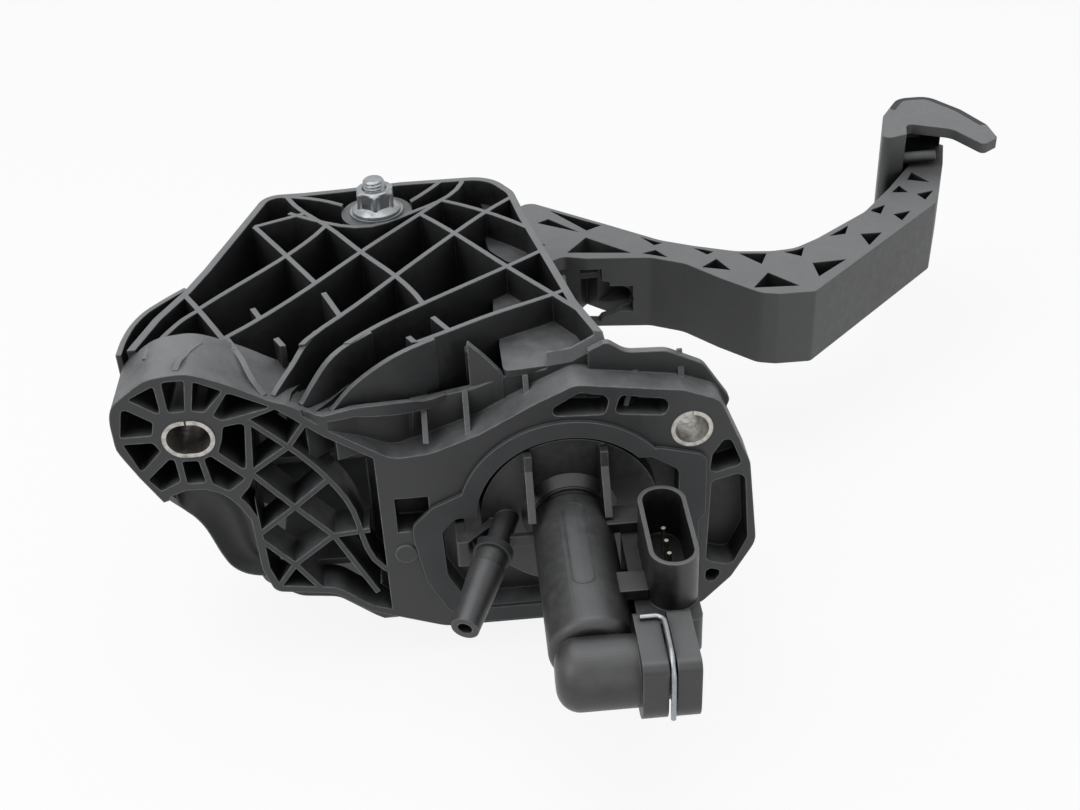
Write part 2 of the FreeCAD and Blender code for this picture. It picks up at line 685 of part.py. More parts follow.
def oval(x, z, stretch, radius):
    """Circle drawn out along its first axis."""
    if stretch <= 0:
        return Part.Face(Part.Wire(Part.makeCircle(radius, Vector(x, z, 0))))
    half = stretch / 2
    left = Vector(x - half, z, 0)
    right = Vector(x + half, z, 0)
    up = Vector(0, radius, 0)
    edges = [
        Part.LineSegment(left + up, right + up).toShape(),
        Part.Arc(right + up, right + Vector(radius, 0, 0), right - up).toShape(),
        Part.LineSegment(right - up, left - up).toShape(),
        Part.Arc(left - up, left - Vector(radius, 0, 0), left + up).toShape(),
    ]
    return Part.Face(Part.Wire(edges))


SPINE = [(-137.5, 24), (-129.8, 43), (-121.8, 60), (-116.8, 74), (-107.8, 109), (-101, 126)]
STOP_WALL_Y = 84
STOP_SPAN = (-118, -81)
BUFFER_SPAN = (-93, -82)
BUFFER_HALF = 9
BUFFER_LENGTH = 8


def bracket():
    """One moulding: two ribbed cheeks, the bulkhead face, the spine and the stop wall."""
    envelope = face_envelope()
    recess = size("hex_flange_radius") + 1.2
    upper = cheek(UPPER_CHEEK, upper_slope(), size("boss_radius"), size("boss_sink")).cut(envelope)
    lower = cheek(LOWER_CHEEK, lower_slope(), recess, size("head_recess"))
    lower = lower.mirror(Vector(0, 0, 0), Vector(0, 0, 1))
    lower = lower.cut(envelope)
    spine = rise(rib(SPINE, size("web_wall")), -WEB_OUT, WEB_OUT)
    wall = size("web_wall")
    stop = block(STOP_SPAN[0], STOP_SPAN[1], STOP_WALL_Y - wall, STOP_WALL_Y, -WEB_OUT, WEB_OUT)
    lower_front = block(-98, 14, size("flange_depth") - 2, 40, -WEB_OUT, -WEB_IN)
    body = join([upper, face_block(), lower, spine, stop, lower_front])
    feature("pedal_bracket", one_solid(body, "pedal_bracket"))




def fixing_sleeve(label, x_name, z_name, stretch):
    """Rolled steel sleeve with its open seam at the top."""
    radius = size("sleeve_radius")
    x = size(x_name)
    z = size(z_name)
    ring = oval(x, z, stretch, radius).cut(oval(x, z, stretch, radius - size("sleeve_wall")))
    near = -size("sleeve_proud")
    far = near + size("sleeve_length")
    slit = block(x - size("sleeve_slit") / 2, x + size("sleeve_slit") / 2, near - 1, far + 1,
                 z, z + radius + 1)
    feature(label, one_solid(into_face(ring, near, far).cut(slit), label))


def gasket():
    """Flat foam seal between the bracket and the bulkhead."""
    disc = Part.Face(Part.Wire(Part.makeCircle(GASKET_RADIUS)))
    outer = fuse([disc, flat(GASKET_LOWER)])
    hole = fuse([Part.Face(Part.Wire(Part.makeCircle(size("opening_radius")))), flat(OPENING_LOWER)])
    feature("bulkhead_gasket", one_solid(into_face(outer.cut(hole), -size("gasket_wall"), 0), "bulkhead_gasket"))


# Master cylinder: fins, lugs and outlet, along Y from the barrel to the outlet

FIN_SPANS = [(-14.5, -12), (10, 12.5)]
FIN_SIDE = [(0.5, 26.5), (-4, 26.5), (-4.6, 21), (-16, 9), (0.5, 9)]
NECK_RADIUS = 11.8
NECK_SPAN = (-7.2, -4)
ELBOW_START = -11.8
ELBOW_FILLET = 7
BODY_FILLET = 3.5
LUG_TOP = 8
LUGS = [(-18, -9, 22), (-50, -41, 19)]
TRAY_HALF = (-60, -20)
STRUT_LOW = -10
STRUT_HIGH = 0
STRUT = [
    (-38, 3, 0), (-38, -11.5, 1), (-34, -11.5, 1), (-23.5, -1, 0), (-21, 3, 0), (-24, 3, 0),
    (-33.2, -7.5, 1), (-35, -6, 0), (-35, 3, 0),
]
CROSS_TAB = (-31, -10, -9.6, -7.6, -5, -1)


def collar(start, end, half, cut_top):
    """Rounded square collar round the outlet, with a flat top."""
    face = flat([(-half, -half, half * 0.7), (half, -half, half * 0.7), (half, half - cut_top, 3),
                 (-half, half - cut_top, 3)])
    solid = rise(face, start, end)
    solid.rotate(Vector(0, 0, 0), Vector(1, 1, 1), 120)
    solid.translate(Vector(0, size("outlet_y"), 0))
    return solid


def cylinder_housing():
    """Master cylinder moulding: barrel, flange, body, elbow, collar, fins and feed tube."""
    along = Vector(0, 1, 0)
    outlet = Vector(0, size("outlet_y"), 0)
    front = -size("body_end")
    cup = rod(size("body_radius"), Vector(0, front, 0), along, -front)
    rims = [edge for edge in cup.Edges if abs(edge.CenterOfMass.y - front) < 0.01]
    cup = cup.makeFillet(BODY_FILLET, rims[:1])
    neck = rod(size("body_radius") + 1, Vector(0, NECK_SPAN[0], 0), along, NECK_SPAN[1] - NECK_SPAN[0])
    neck = neck.cut(rod(NECK_RADIUS, Vector(0, -40, 0), along, 40))
    cup = cup.cut(neck)
    outlet_tube = rod(size("outlet_radius"), outlet + Vector(ELBOW_START, 0, 0), Vector(1, 0, 0),
                      size("collar_start") + 1 - ELBOW_START)
    rims = [edge for edge in outlet_tube.Edges if abs(edge.CenterOfMass.x - ELBOW_START) < 0.01]
    outlet_tube = outlet_tube.makeFillet(ELBOW_FILLET, rims[:1])
    first_collar = collar(size("collar_start"), size("collar_start") + size("collar_wall"),
                          size("collar_half"), 0)
    disc = rod(size("flange_radius") - size("seal_gap"), Vector(0, 0, 0), along,
               size("flange_wall"))
    barrel = rod(size("barrel_radius"), Vector(0, 0, 0), along, size("barrel_end"))
    parts = [cup, outlet_tube, first_collar, disc, barrel]
    for x_low, x_high in FIN_SPANS:
        points = [Vector(x_low, y, z) for y, z in FIN_SIDE]
        face = Part.Face(Part.makePolygon(points + points[:1]))
        parts.append(face.extrude(Vector(x_high - x_low, 0, 0)))
    for y_low, y_high, x_high in LUGS:
        parts.append(block(8, x_high, y_low, y_high, SENSOR_TOP + size("sensor_gap"), LUG_TOP))
    tray_top = SENSOR_LOW - size("sensor_gap")
    parts.append(block(4, 31, TRAY_HALF[0], TRAY_HALF[1], tray_top - size("web_wall"), tray_top))
    feed = NIPPLE_TIP + NIPPLE_WAY * TUBE_START
    parts.append(rod(size("feed_radius"), feed, NIPPLE_WAY, 80 - TUBE_START))
    parts.append(rise(flat(STRUT), STRUT_LOW, STRUT_HIGH))
    parts.append(block(*CROSS_TAB))
    body = fuse(parts)
    bore = size("bore_radius")
    cuts = [
        rod(bore, Vector(0, -size("bore_end"), 0), along, size("bore_end") + 80),
        rod(size("seal_seat"), Vector(0, size("seal_start"), 0), along, 80),
        rod(size("outlet_bore"), outlet, Vector(1, 0, 0), 60),
        rod(size("outlet_bore"), outlet, along, -front + size("outlet_y") + 20),
        rod(size("nipple_bore"), feed - NIPPLE_WAY, NIPPLE_WAY, 75 - TUBE_START),
        rod(size("port_radius"), outlet + Vector(size("port_start"), 0, 0), Vector(1, 0, 0), 60),
    ]
    for part in cuts:
        body = body.cut(part)
    feature("cylinder_housing", one_solid(body, "cylinder_housing"))


SENSOR_TOP = 4
SENSOR_LOW = -9
SENSOR_BODY = (14.5, 34, -60.7, -16)
SHROUD_CENTRE = (26.5, -37)
PIN_ROWS = (-47, -41, -35, -29)
PIN_TOP = 14


def stadium(centre, width, length):
    """Flat face with straight sides along Y and round ends."""
    x, y = centre
    half = width / 2
    reach = length / 2
    return flat([(x - half, y - reach, half * 0.98), (x + half, y - reach, half * 0.98),
                 (x + half, y + reach, half * 0.98), (x - half, y + reach, half * 0.98)])


def sensor():
    """Position sensor: body beside the cylinder, plug shroud and four contact pins."""
    width = size("shroud_width")
    length = size("shroud_length")
    wall = size("shroud_wall")
    outer = rise(stadium(SHROUD_CENTRE, width, length), SENSOR_LOW + 1, size("shroud_top"))
    hollow = rise(stadium(SHROUD_CENTRE, width - 2 * wall, length - 2 * wall), SENSOR_TOP,
                  size("shroud_top") + 1)
    x_low, x_high, y_low, y_high = SENSOR_BODY
    base = plate([(x_low, y_low, 2), (x_high, y_low, 3), (x_high, y_high, 3), (x_low, y_high, 2)],
                 SENSOR_LOW, SENSOR_TOP)
    body = fuse([base, outer]).cut(hollow)
    pins = []
    for y in PIN_ROWS:
        body = body.cut(rod(size("pin_size") + 0.02, Vector(SHROUD_CENTRE[0], y, SENSOR_TOP - 4),
                            Vector(0, 0, 1), 8))
        pins.append(rod(size("pin_size"), Vector(SHROUD_CENTRE[0], y, SENSOR_TOP - 4),
                        Vector(0, 0, 1), PIN_TOP - SENSOR_TOP + 4))
    feature("sensor_housing", one_solid(body, "sensor_housing"))
    feature("sensor_pins", Part.makeCompound(pins))


def piston_set():
    """Piston with its magnet and push rod, and the seals and guide they run in."""
    place = ("0", "0", "0")
    along = Vector(0, 1, 0)
    front = "Sizes.piston_front"
    end = "(Sizes.piston_front + Sizes.piston_length)"
    groove = "(Sizes.piston_radius - Sizes.magnet_wall)"
    magnet_low = "(Sizes.piston_front + Sizes.magnet_set)"
    magnet_high = "(Sizes.piston_front + Sizes.magnet_set + Sizes.magnet_length)"
    turned("piston", [
        ("0", front), ("Sizes.piston_radius", front), ("Sizes.piston_radius", magnet_low),
        (groove, magnet_low), (groove, magnet_high), ("Sizes.piston_radius", magnet_high),
        ("Sizes.piston_radius", end), ("Sizes.rod_radius", end),
        ("Sizes.rod_radius", end + " - Sizes.rod_seat"), ("0", end + " - Sizes.rod_seat"),
    ], place, along)
    turned("sensor_magnet", ring_profile(
        groove, "Sizes.piston_radius - Sizes.magnet_inset", magnet_low, magnet_high), place, along)
    ball = doc.addObject("Part::Sphere", "rod_ball")
    ball.setExpression("Radius", "Sizes.ball_radius")
    ball.setExpression("Placement.Base.y", "Sizes.ball_y")
    stem = doc.addObject("Part::Cylinder", "rod_stem")
    stem.setExpression("Radius", "Sizes.rod_radius")
    stem.setExpression("Height", "Sizes.ball_y - %s + Sizes.rod_seat" % end)
    stem.Placement = Placement(Vector(0, 0, 0), Rotation(Vector(0, 0, 1), along))
    stem.setExpression("Placement.Base.y", end + " - Sizes.rod_seat")
    shaft = doc.addObject("Part::MultiFuse", "push_rod")
    shaft.Label = "push_rod"
    shaft.Shapes = [ball, stem]
    keep(shaft)
    inside = "Sizes.piston_radius + Sizes.seal_gap"
    seal_end = "(Sizes.seal_start + Sizes.seal_length)"
    turned("primary_seal", ring_profile(
        inside, "Sizes.seal_seat", "Sizes.seal_start", seal_end), place, along)
    pocket = "(Sizes.barrel_end - Sizes.seal_set)"
    lip = "(Sizes.seal_seat + Sizes.piston_radius) / 2"
    turned("cylinder_guide", [
        (inside, seal_end), (lip, seal_end), (lip, seal_end + " + Sizes.gallery"),
        ("Sizes.seal_seat", seal_end + " + Sizes.gallery"), ("Sizes.seal_seat", "Sizes.barrel_end"),
        (inside, "Sizes.barrel_end"), (inside, pocket), (lip, pocket),
        (lip, pocket + " - Sizes.seal_length"), (inside, pocket + " - Sizes.seal_length"),
    ], place, along)
    turned("secondary_seal", ring_profile(
        inside, lip, pocket + " - Sizes.seal_length", pocket), place, along)


SPRING_TURNS = 5


def return_spring():
    """Coil spring between the end of the bore and the piston."""
    wire = size("spring_wire") / 2
    radius = size("bore_radius") - wire - 1
    low = -size("bore_end") + wire
    high = size("piston_front") - wire
    helix = Part.makeHelix((high - low) / SPRING_TURNS, high - low, radius)
    corners = [Vector(radius + wire, 0, 0), Vector(radius, 0, wire), Vector(radius - wire, 0, 0),
               Vector(radius, 0, -wire)]
    profile = Part.makePolygon(corners + corners[:1])
    coil = Part.Wire(helix.Edges).makePipeShell([profile], True, True)
    coil.rotate(Vector(0, 0, 0), Vector(1, 0, 0), -90)
    coil.translate(Vector(0, low, 0))
    feature("piston_spring", coil)


def nipple():
    """Hose nipple on the feed tube, with its seal ring behind it."""
    place = [str(round(value, 6)) for value in NIPPLE_TIP]
    end = str(SLEEVE_END)
    seat = "(Sizes.feed_radius + Sizes.seal_gap)"
    turned("reservoir_nipple", [
        ("Sizes.nipple_bore", "0"), ("Sizes.nipple_tip", "0"),
        ("Sizes.nipple_root", "Sizes.nipple_length"),
        ("Sizes.nipple_root - 0.6", "Sizes.nipple_length"), ("Sizes.nipple_root - 0.6", end),
        (seat, end), (seat, str(TUBE_START)), ("Sizes.nipple_bore", str(TUBE_START)),
    ], place, NIPPLE_WAY)
    turned("nipple_ring", ring_profile(
        seat, "Sizes.nipple_root + 0.5", end, str(RING_END)), place, NIPPLE_WAY)


def line_socket():
    """Stepped socket of the pressure line, its O-ring and the sprung wire that holds it."""
    start = size("collar_start") + size("collar_wall")
    face = start + size("clip_groove")
    outlet = Vector(0, size("outlet_y"), 0)
    across = Vector(1, 0, 0)
    steps = []
    length = size("socket_length")
    for share, half in ((0, 12.3), (0.34, 11.6), (0.66, 10.7)):
        steps.append(collar(face + share * length, face + length, half, 0))
    spigot = rod(size("spigot_radius"), outlet + across * (size("port_start") + 0.5), across,
                 face - size("port_start"))
    neck = rod(size("neck_radius"), outlet + across * start, across, face - start)
    body = fuse(steps + [spigot, neck])
    body = body.cut(rod(size("line_bore"), outlet, across, 60))
    feature("line_socket", one_solid(body, "line_socket"))
    inner = "(Sizes.spigot_radius + 0.02)"
    outer = "(Sizes.port_radius - 0.02)"
    middle_radius = "(Sizes.spigot_radius + Sizes.port_radius) / 2"
    seal = "(Sizes.port_radius - Sizes.spigot_radius)"
    turned("port_seal", [
        (inner, "Sizes.port_start + 3"), (middle_radius, "Sizes.port_start + 3 - %s / 2" % seal),
        (outer, "Sizes.port_start + 3"), (middle_radius, "Sizes.port_start + 3 + %s / 2" % seal),
    ], ("0", "Sizes.outlet_y", "0"), across)
    middle = start + size("clip_groove") / 2
    half = size("collar_half")
    y = size("outlet_y")
    wire = size("clip_wire")
    points = [
        Vector(size("collar_start") + 1, y + 9, half + wire / 2),
        Vector(middle, y + 9, half + wire / 2),
        Vector(middle, y - half + 1, half + wire / 2 - 4),
        Vector(middle, y - half - wire / 2, -6),
        Vector(middle, y - half - wire / 2, -9),
    ]
    path = Part.Wire([Part.LineSegment(a, b).toShape() for a, b in zip(points, points[1:])])
    profile = Part.Wire(Part.makeCircle(wire / 2, points[0], points[1] - points[0]))
    clip = path.makePipeShell([profile], True, False, 1)
    feature("line_clip", clip)


def buffer():
    """Rubber block on the stop wall that the pedal's tail rests against."""
    x_low, x_high = BUFFER_SPAN
    feature("rest_buffer", block(x_low, x_high, STOP_WALL_Y, STOP_WALL_Y + BUFFER_LENGTH,
                                 -BUFFER_HALF, BUFFER_HALF))


# Pedal arm seen along the pivot, as (x, y, corner radius)

ARM = [
    (2, 196, 5), (32, 171, 20), (53, 153, 20), (66, 146, 15), (82, 139, 15), (96, 137, 15),
    (106, 138, 15), (117, 145, 15), (142, 165, 20), (158, 185, 15), (173, 206, 6),
    (176, 234, 0), (184, 236.5, 0), (194.2, 224, 0), (188, 205, 10), (174, 169, 6), (106, 103, 3),
    (92, 103, 3), (85, 105, 8), (72, 118, 15), (60, 132, 12), (47, 139, 8), (21, 142, 6),
    (12, 145, 4), (-14, 128, 10), (-42, 98, 0), (-59, 113, 0), (-74, 128, 0),
]
TAIL = [(-94, 0, 3), (-94, 11.7, 4), (-66, 27.7, 0), (-60, 7.7, 0), (-76, 0, 6)]
ARM_POCKETS = [
    [(6, 193), (31, 170), (24, 166)], [(4, 176), (9, 179), (21, 165)],
    [(23, 160), (40, 144), (14, 148)], [(42, 163), (55, 151), (50, 149)],
    [(44, 143), (50, 145), (54, 138)], [(64, 146), (73, 140), (70, 138)],
    [(66, 128), (73, 134), (77, 124)], [(82, 138), (94, 136), (90, 127)],
    [(83, 109), (91, 120), (101, 108)], [(100, 136), (110, 139), (107, 131)],
    [(110, 125), (124, 126), (110, 114)], [(122, 146), (132, 154), (129, 147)],
    [(135, 146), (144, 146), (136, 136)], [(144, 166), (152, 170), (148, 162)],
    [(153, 161), (161, 163), (155, 155)], [(158, 181), (163, 187), (165, 180)],
    [(168, 178), (176, 180), (170, 172)], [(168, 192), (172, 199), (177, 188)],
    [(-8, 184), (-2, 172), (-20, 160)], [(-6, 166), (6, 156), (-6, 146)],
    [(-30, 156), (-24, 144), (-40, 136)], [(-22, 140), (-12, 134), (-30, 122)],
]
CAVITY = (-12, 30)
CAVITY_END = 40
CAVITY_STEP = 3
FOOT = [
    (157, 198, 3), (164, 222, 12), (176, 241, 9), (190, 241, 8), (200, 224, 15), (206, 206, 6),
    (206, 192, 2.5), (198, 186, 2), (190, 204, 8), (172, 213, 3), (169, 202, 1.5),
]
FOOT_BACK = [(150, 222, 0), (150, 260, 0), (230, 260, 0), (230, 180, 0), (201, 205, 0), (196, 216, 0),
             (184, 230, 0), (172, 226, 0)]
FOOT_LEG = [(150, 190, 0), (150, 232, 0), (169, 232, 0), (169, 195, 0)]
HORN_LOW = 28.5
WALL_END = 192.5
LEG_LOW = -20


def pedal_arm():
    """Ribbed arm with its hub, the cavity for the rod's clip and the foot shell."""
    half = size("arm_half")
    whole = plate(ARM, -half, half)
    hub = rod(size("hub_radius"), PIVOT - Vector(0, 0, half), Vector(0, 0, 1), 2 * half)
    rest = STOP_WALL_Y + BUFFER_LENGTH + size("stop_gap")
    tail = rise(flat([(x, rest + deep, radius) for x, deep, radius in TAIL]),
                -BUFFER_HALF - 1, BUFFER_HALF + 1)
    body = fuse([whole, hub, tail])
    web = size("arm_web") / 2
    inside = flat(ARM).makeOffset2D(-size("arm_rim"))
    for corners in ARM_POCKETS:
        face = flat([(x, y, 0) for x, y in corners]).common(inside)
        body = body.cut(rise(face, web, half + 1))
        body = body.cut(rise(face, -half - 1, -web))
    bore = size("tube_radius") + size("bush_clearance") + size("bush_wall")
    body = body.cut(rod(bore, PIVOT - Vector(0, 0, half + 1), Vector(0, 0, 1), 2 * half + 2))
    deep = size("ball_y") + CLIP_BACK
    recess = size("recess_half")
    body = body.cut(block(CAVITY[0], CAVITY[1], 80, deep, -recess, recess))
    body = body.cut(block(CAVITY[1] - 1, CAVITY_END, 120, deep + 6, -recess + 3, CAVITY_STEP))
    body = fuse([body, foot_shell()])
    feature("pedal_arm", one_solid(body, "pedal_arm"))


def foot_shell():
    """Arched shell that carries the tread: driver wall, top wall, left leg and horn."""
    top = size("foot_half")
    wall = size("foot_wall")
    whole = flat(FOOT)
    shell = whole.cut(tread_face()).Faces[0]
    back = shell.cut(shell.makeOffset2D(-wall)).common(flat(FOOT_BACK))
    leg = shell.common(flat(FOOT_LEG))
    rim = shell.cut(shell.makeOffset2D(-wall))
    parts = [
        rise(shell, top - wall, top),
        rise(back.common(flat([(150, 215, 0), (150, 260, 0), (WALL_END, 260, 0), (WALL_END, 215, 0)])),
             -top, top),
        rise(rim.common(flat(FOOT_LEG)), LEG_LOW, top),
        rise(rim, HORN_LOW, top),
        rod(2.4, Vector(166, 206, 20), Vector(1, 0, 0), 18),
    ]
    return fuse(parts)


def tread_face():
    """Section of the rubber tread along the driver's side of the foot."""
    whole = flat(FOOT)
    band = whole.cut(whole.makeOffset2D(-size("pad_wall")))
    return band.common(flat([(170, 229, 0), (165, 250, 0), (230, 250, 0), (230, 206, 0), (199, 206, 0)]))


def foot_pad():
    """Rubber tread on the foot shell."""
    top = size("foot_half")
    face = tread_face()
    lower = face.common(flat([(150, 215, 0), (150, 260, 0), (WALL_END, 260, 0), (WALL_END, 215, 0)]))
    feature("foot_pad", one_solid(fuse([rise(face, HORN_LOW, top), rise(lower, -top, top)]), "foot_pad"))


CLIP_BACK = 9
CLIP_FRONT = 9
CLIP_HALF = 11


def rod_clip():
    """Snap socket in the arm's cavity that holds the push rod's ball."""
    y = size("ball_y")
    recess = size("recess_half")
    body = block(CAVITY[0], CAVITY[0] + 2 * CLIP_HALF + 2, y - CLIP_FRONT, y + CLIP_BACK,
                 -recess, recess)
    centre = Vector(0, y, 0)
    room = size("ball_radius") + size("ball_gap")
    body = body.cut(rod(room, centre - Vector(0, 0, room), Vector(0, 0, 1), 2 * room))
    mouth = size("ball_radius") - 0.8
    body = body.cut(block(-9.5, 9.5, y - CLIP_FRONT - 1, y, -mouth, mouth))
    feature("rod_clip", one_solid(body, "rod_clip"))


def check(piece):
    """Stop if a piece has failed, so that nothing half made is written."""
    shape = piece.Shape
    if shape.isNull() or not shape.isValid():
        raise ValueError("%s is null or not valid" % piece.Label)


def build():
    pivot_stack()
    pivot_bushes()
    bracket()
    fixing_sleeve("upper_mount_sleeve", "upper_fix_x", "upper_fix_z", size("upper_fix_stretch"))
    fixing_sleeve("lower_mount_sleeve", "lower_fix_x", "lower_fix_z", 0)
    gasket()
    cylinder_housing()
    piston_set()
    return_spring()
    nipple()
    line_socket()
    sensor()
    buffer()
    pedal_arm()
    foot_pad()
    rod_clip()
    doc.recompute()
    for item in doc.Objects:
        if "Invalid" in item.State or "Error" in item.State:
            raise ValueError("%s failed: %s" % (item.Label, item.State))
    for piece in PIECES:
        check(piece)
    os.makedirs("parts", exist_ok=True)
    for piece in PIECES:
        piece.Shape.exportStep("parts/%s.step" % piece.Label)
        print(piece.Label, len(piece.Shape.Solids), round(piece.Shape.Volume))


build()
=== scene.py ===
"""Looks of a clutch pedal assembly: surfaces, finishes, studio and camera."""

import json
import math

import bmesh
import bpy
import numpy as np
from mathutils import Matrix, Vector
from mathutils.geometry import tessellate_polygon


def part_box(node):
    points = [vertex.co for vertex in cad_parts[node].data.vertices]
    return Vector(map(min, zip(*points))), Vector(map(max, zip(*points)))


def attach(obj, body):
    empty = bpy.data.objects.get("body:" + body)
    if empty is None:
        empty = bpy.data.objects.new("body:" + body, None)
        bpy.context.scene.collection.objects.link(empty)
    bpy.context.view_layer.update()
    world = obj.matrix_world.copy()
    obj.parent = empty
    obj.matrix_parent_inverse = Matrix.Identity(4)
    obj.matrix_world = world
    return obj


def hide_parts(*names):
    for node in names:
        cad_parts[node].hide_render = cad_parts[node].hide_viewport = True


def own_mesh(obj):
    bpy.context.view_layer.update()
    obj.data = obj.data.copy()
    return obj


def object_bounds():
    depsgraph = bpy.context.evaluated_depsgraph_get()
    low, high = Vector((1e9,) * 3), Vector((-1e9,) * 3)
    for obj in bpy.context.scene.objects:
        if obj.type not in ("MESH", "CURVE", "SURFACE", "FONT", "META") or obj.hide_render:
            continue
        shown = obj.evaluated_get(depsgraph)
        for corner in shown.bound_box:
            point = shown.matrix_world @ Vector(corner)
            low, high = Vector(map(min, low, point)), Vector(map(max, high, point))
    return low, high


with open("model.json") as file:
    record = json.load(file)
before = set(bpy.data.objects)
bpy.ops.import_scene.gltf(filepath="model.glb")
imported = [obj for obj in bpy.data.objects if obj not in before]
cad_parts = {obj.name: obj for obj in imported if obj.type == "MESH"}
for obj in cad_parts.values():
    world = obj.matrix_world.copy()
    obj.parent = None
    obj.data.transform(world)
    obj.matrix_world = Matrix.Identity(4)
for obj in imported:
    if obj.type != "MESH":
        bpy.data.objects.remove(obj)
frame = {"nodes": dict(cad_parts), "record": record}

bl_info = {
    "name": "Clutch pedal looks",
    "version": (1, 0, 0),
    "blender": (4, 5, 0),
    "location": "View3D > Sidebar > Clutch pedal",
    "description": "Surfaces, finishes and studio of a clutch pedal assembly",
    "category": "Object",
}

CAD_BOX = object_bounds()
MM = 0.001
PIVOT = (-0.059, 0.113)
OUTLET_Y = -0.075
# metres: points this close are merged, in a new mesh and in a CAD mesh
SAME_POINT = 1e-7
SAME_CAD_POINT = 2e-6
# degrees: an edge that bends more than this is drawn sharp, in a new mesh and in a cut CAD mesh
SHARP_ANGLE = 35
SHARP_CUT_ANGLE = 25


def linear(code):
    """Linear colour of an sRGB hex code: each channel is undone by the sRGB curve."""
    channels = [int(code[i:i + 2], 16) / 255 for i in (1, 3, 5)]
    return tuple(c / 12.92 if c <= 0.04045 else ((c + 0.055) / 1.055) ** 2.4 for c in channels)


class ClutchPedalSizes(bpy.types.PropertyGroup):
    """Sizes of the pieces that this file makes."""

    thread_pitch: bpy.props.FloatProperty(
        name="Thread pitch", description="Rise of the pivot bolt's thread in one turn",
        default=1.25 * MM, precision=5, unit="LENGTH", subtype="DISTANCE")
    thread_depth: bpy.props.FloatProperty(
        name="Thread depth", description="Depth of the pivot bolt's thread",
        default=0.62 * MM, precision=5, unit="LENGTH", subtype="DISTANCE")
    hex_flats: bpy.props.FloatProperty(
        name="Spanner size", description="Across the flats of the bolt's head and the nut",
        default=13 * MM, precision=4, unit="LENGTH", subtype="DISTANCE")
    hex_flange: bpy.props.FloatProperty(
        name="Hexagon's flange", description="Radius of the flange of the bolt's head and the nut",
        default=8.9 * MM, precision=4, unit="LENGTH", subtype="DISTANCE")
    clip_wire: bpy.props.FloatProperty(
        name="Clip wire", description="Thickness of the wire that holds the line socket",
        default=1.6 * MM, precision=4, unit="LENGTH", subtype="DISTANCE")
    edge_round: bpy.props.FloatProperty(
        name="Edge rounding", description="Radius to which moulded edges are worn and rounded",
        default=0.7 * MM, precision=5, unit="LENGTH", subtype="DISTANCE")
    mould_line: bpy.props.FloatProperty(
        name="Mould line", description="Width of the raised lines on the mouldings",
        default=0.35 * MM, precision=5, unit="LENGTH", subtype="DISTANCE")


class ClutchPedalColours(bpy.types.PropertyGroup):
    """Colours of the finishes."""

    nylon: bpy.props.FloatVectorProperty(
        name="Bracket nylon", description="Glass-filled nylon of the bracket",
        size=3, subtype="COLOR", min=0, max=1, default=linear("#27292b"))
    arm_nylon: bpy.props.FloatVectorProperty(
        name="Arm nylon", description="Glass-filled nylon of the pedal arm",
        size=3, subtype="COLOR", min=0, max=1, default=linear("#454849"))
    cylinder_nylon: bpy.props.FloatVectorProperty(
        name="Cylinder nylon", description="Nylon of the master cylinder and the sensor",
        size=3, subtype="COLOR", min=0, max=1, default=linear("#2c2e30"))
    worn: bpy.props.FloatVectorProperty(
        name="Worn edge", description="Nylon where handling has scuffed it",
        size=3, subtype="COLOR", min=0, max=1, default=linear("#94989b"))
    dust: bpy.props.FloatVectorProperty(
        name="Dust", description="Road dust that lies in the moulding's floors",
        size=3, subtype="COLOR", min=0, max=1, default=linear("#7f8183"))
    soil: bpy.props.FloatVectorProperty(
        name="Brown soil", description="Brown soil in creases and on the cylinder",
        size=3, subtype="COLOR", min=0, max=1, default=linear("#5a4d42"))
    zinc: bpy.props.FloatVectorProperty(
        name="Zinc plate", description="Zinc plate of nut, bolt and wire",
        size=3, subtype="COLOR", min=0, max=1, default=linear("#9da1a4"))
    steel: bpy.props.FloatVectorProperty(
        name="Rolled steel", description="Bare steel of the fixing sleeves",
        size=3, subtype="COLOR", min=0, max=1, default=linear("#c2bfba"))
    foam: bpy.props.FloatVectorProperty(
        name="Foam rubber", description="Foam of the bulkhead seal",
        size=3, subtype="COLOR", min=0, max=1, default=linear("#37393a"))
    rubber: bpy.props.FloatVectorProperty(
        name="Rubber", description="Solid rubber of tread, buffer and seals",
        size=3, subtype="COLOR", min=0, max=1, default=linear("#242628"))
    floor: bpy.props.FloatVectorProperty(
        name="Floor", description="Floor and background",
        size=3, subtype="COLOR", min=0, max=1, default=(1.0, 1.0, 1.0))


# Meshes from whole arrays


def sheet_mesh(name, points, rows_wrap=False):
    """Mesh of a grid of points whose columns wrap.

    Neighbours in the grid share a four-cornered face. Where the rows don't wrap, a fan round the
    middle of the first and of the last row closes the ends.
    """
    rows, columns = points.shape[:2]
    index = np.arange(rows * columns).reshape(rows, columns)
    here, right = index, np.roll(index, -1, axis=1)
    if rows_wrap:
        up, up_right = np.roll(here, -1, axis=0), np.roll(right, -1, axis=0)
    else:
        up, up_right = here[1:], right[1:]
        here, right = here[:-1], right[:-1]
    quads = np.stack([here, right, up_right, up], axis=-1).reshape(-1, 4)
    places = points.reshape(-1, 3)
    faces = quads.tolist()
    if not rows_wrap:
        low, high = len(places), len(places) + 1
        places = np.vstack([places, points[0].mean(axis=0), points[-1].mean(axis=0)])
        first, last = index[0], index[-1]
        faces += np.stack([np.roll(first, -1), first, np.full(columns, low)], axis=-1).tolist()
        faces += np.stack([last, np.roll(last, -1), np.full(columns, high)], axis=-1).tolist()
    return closed_mesh(name, places, faces)


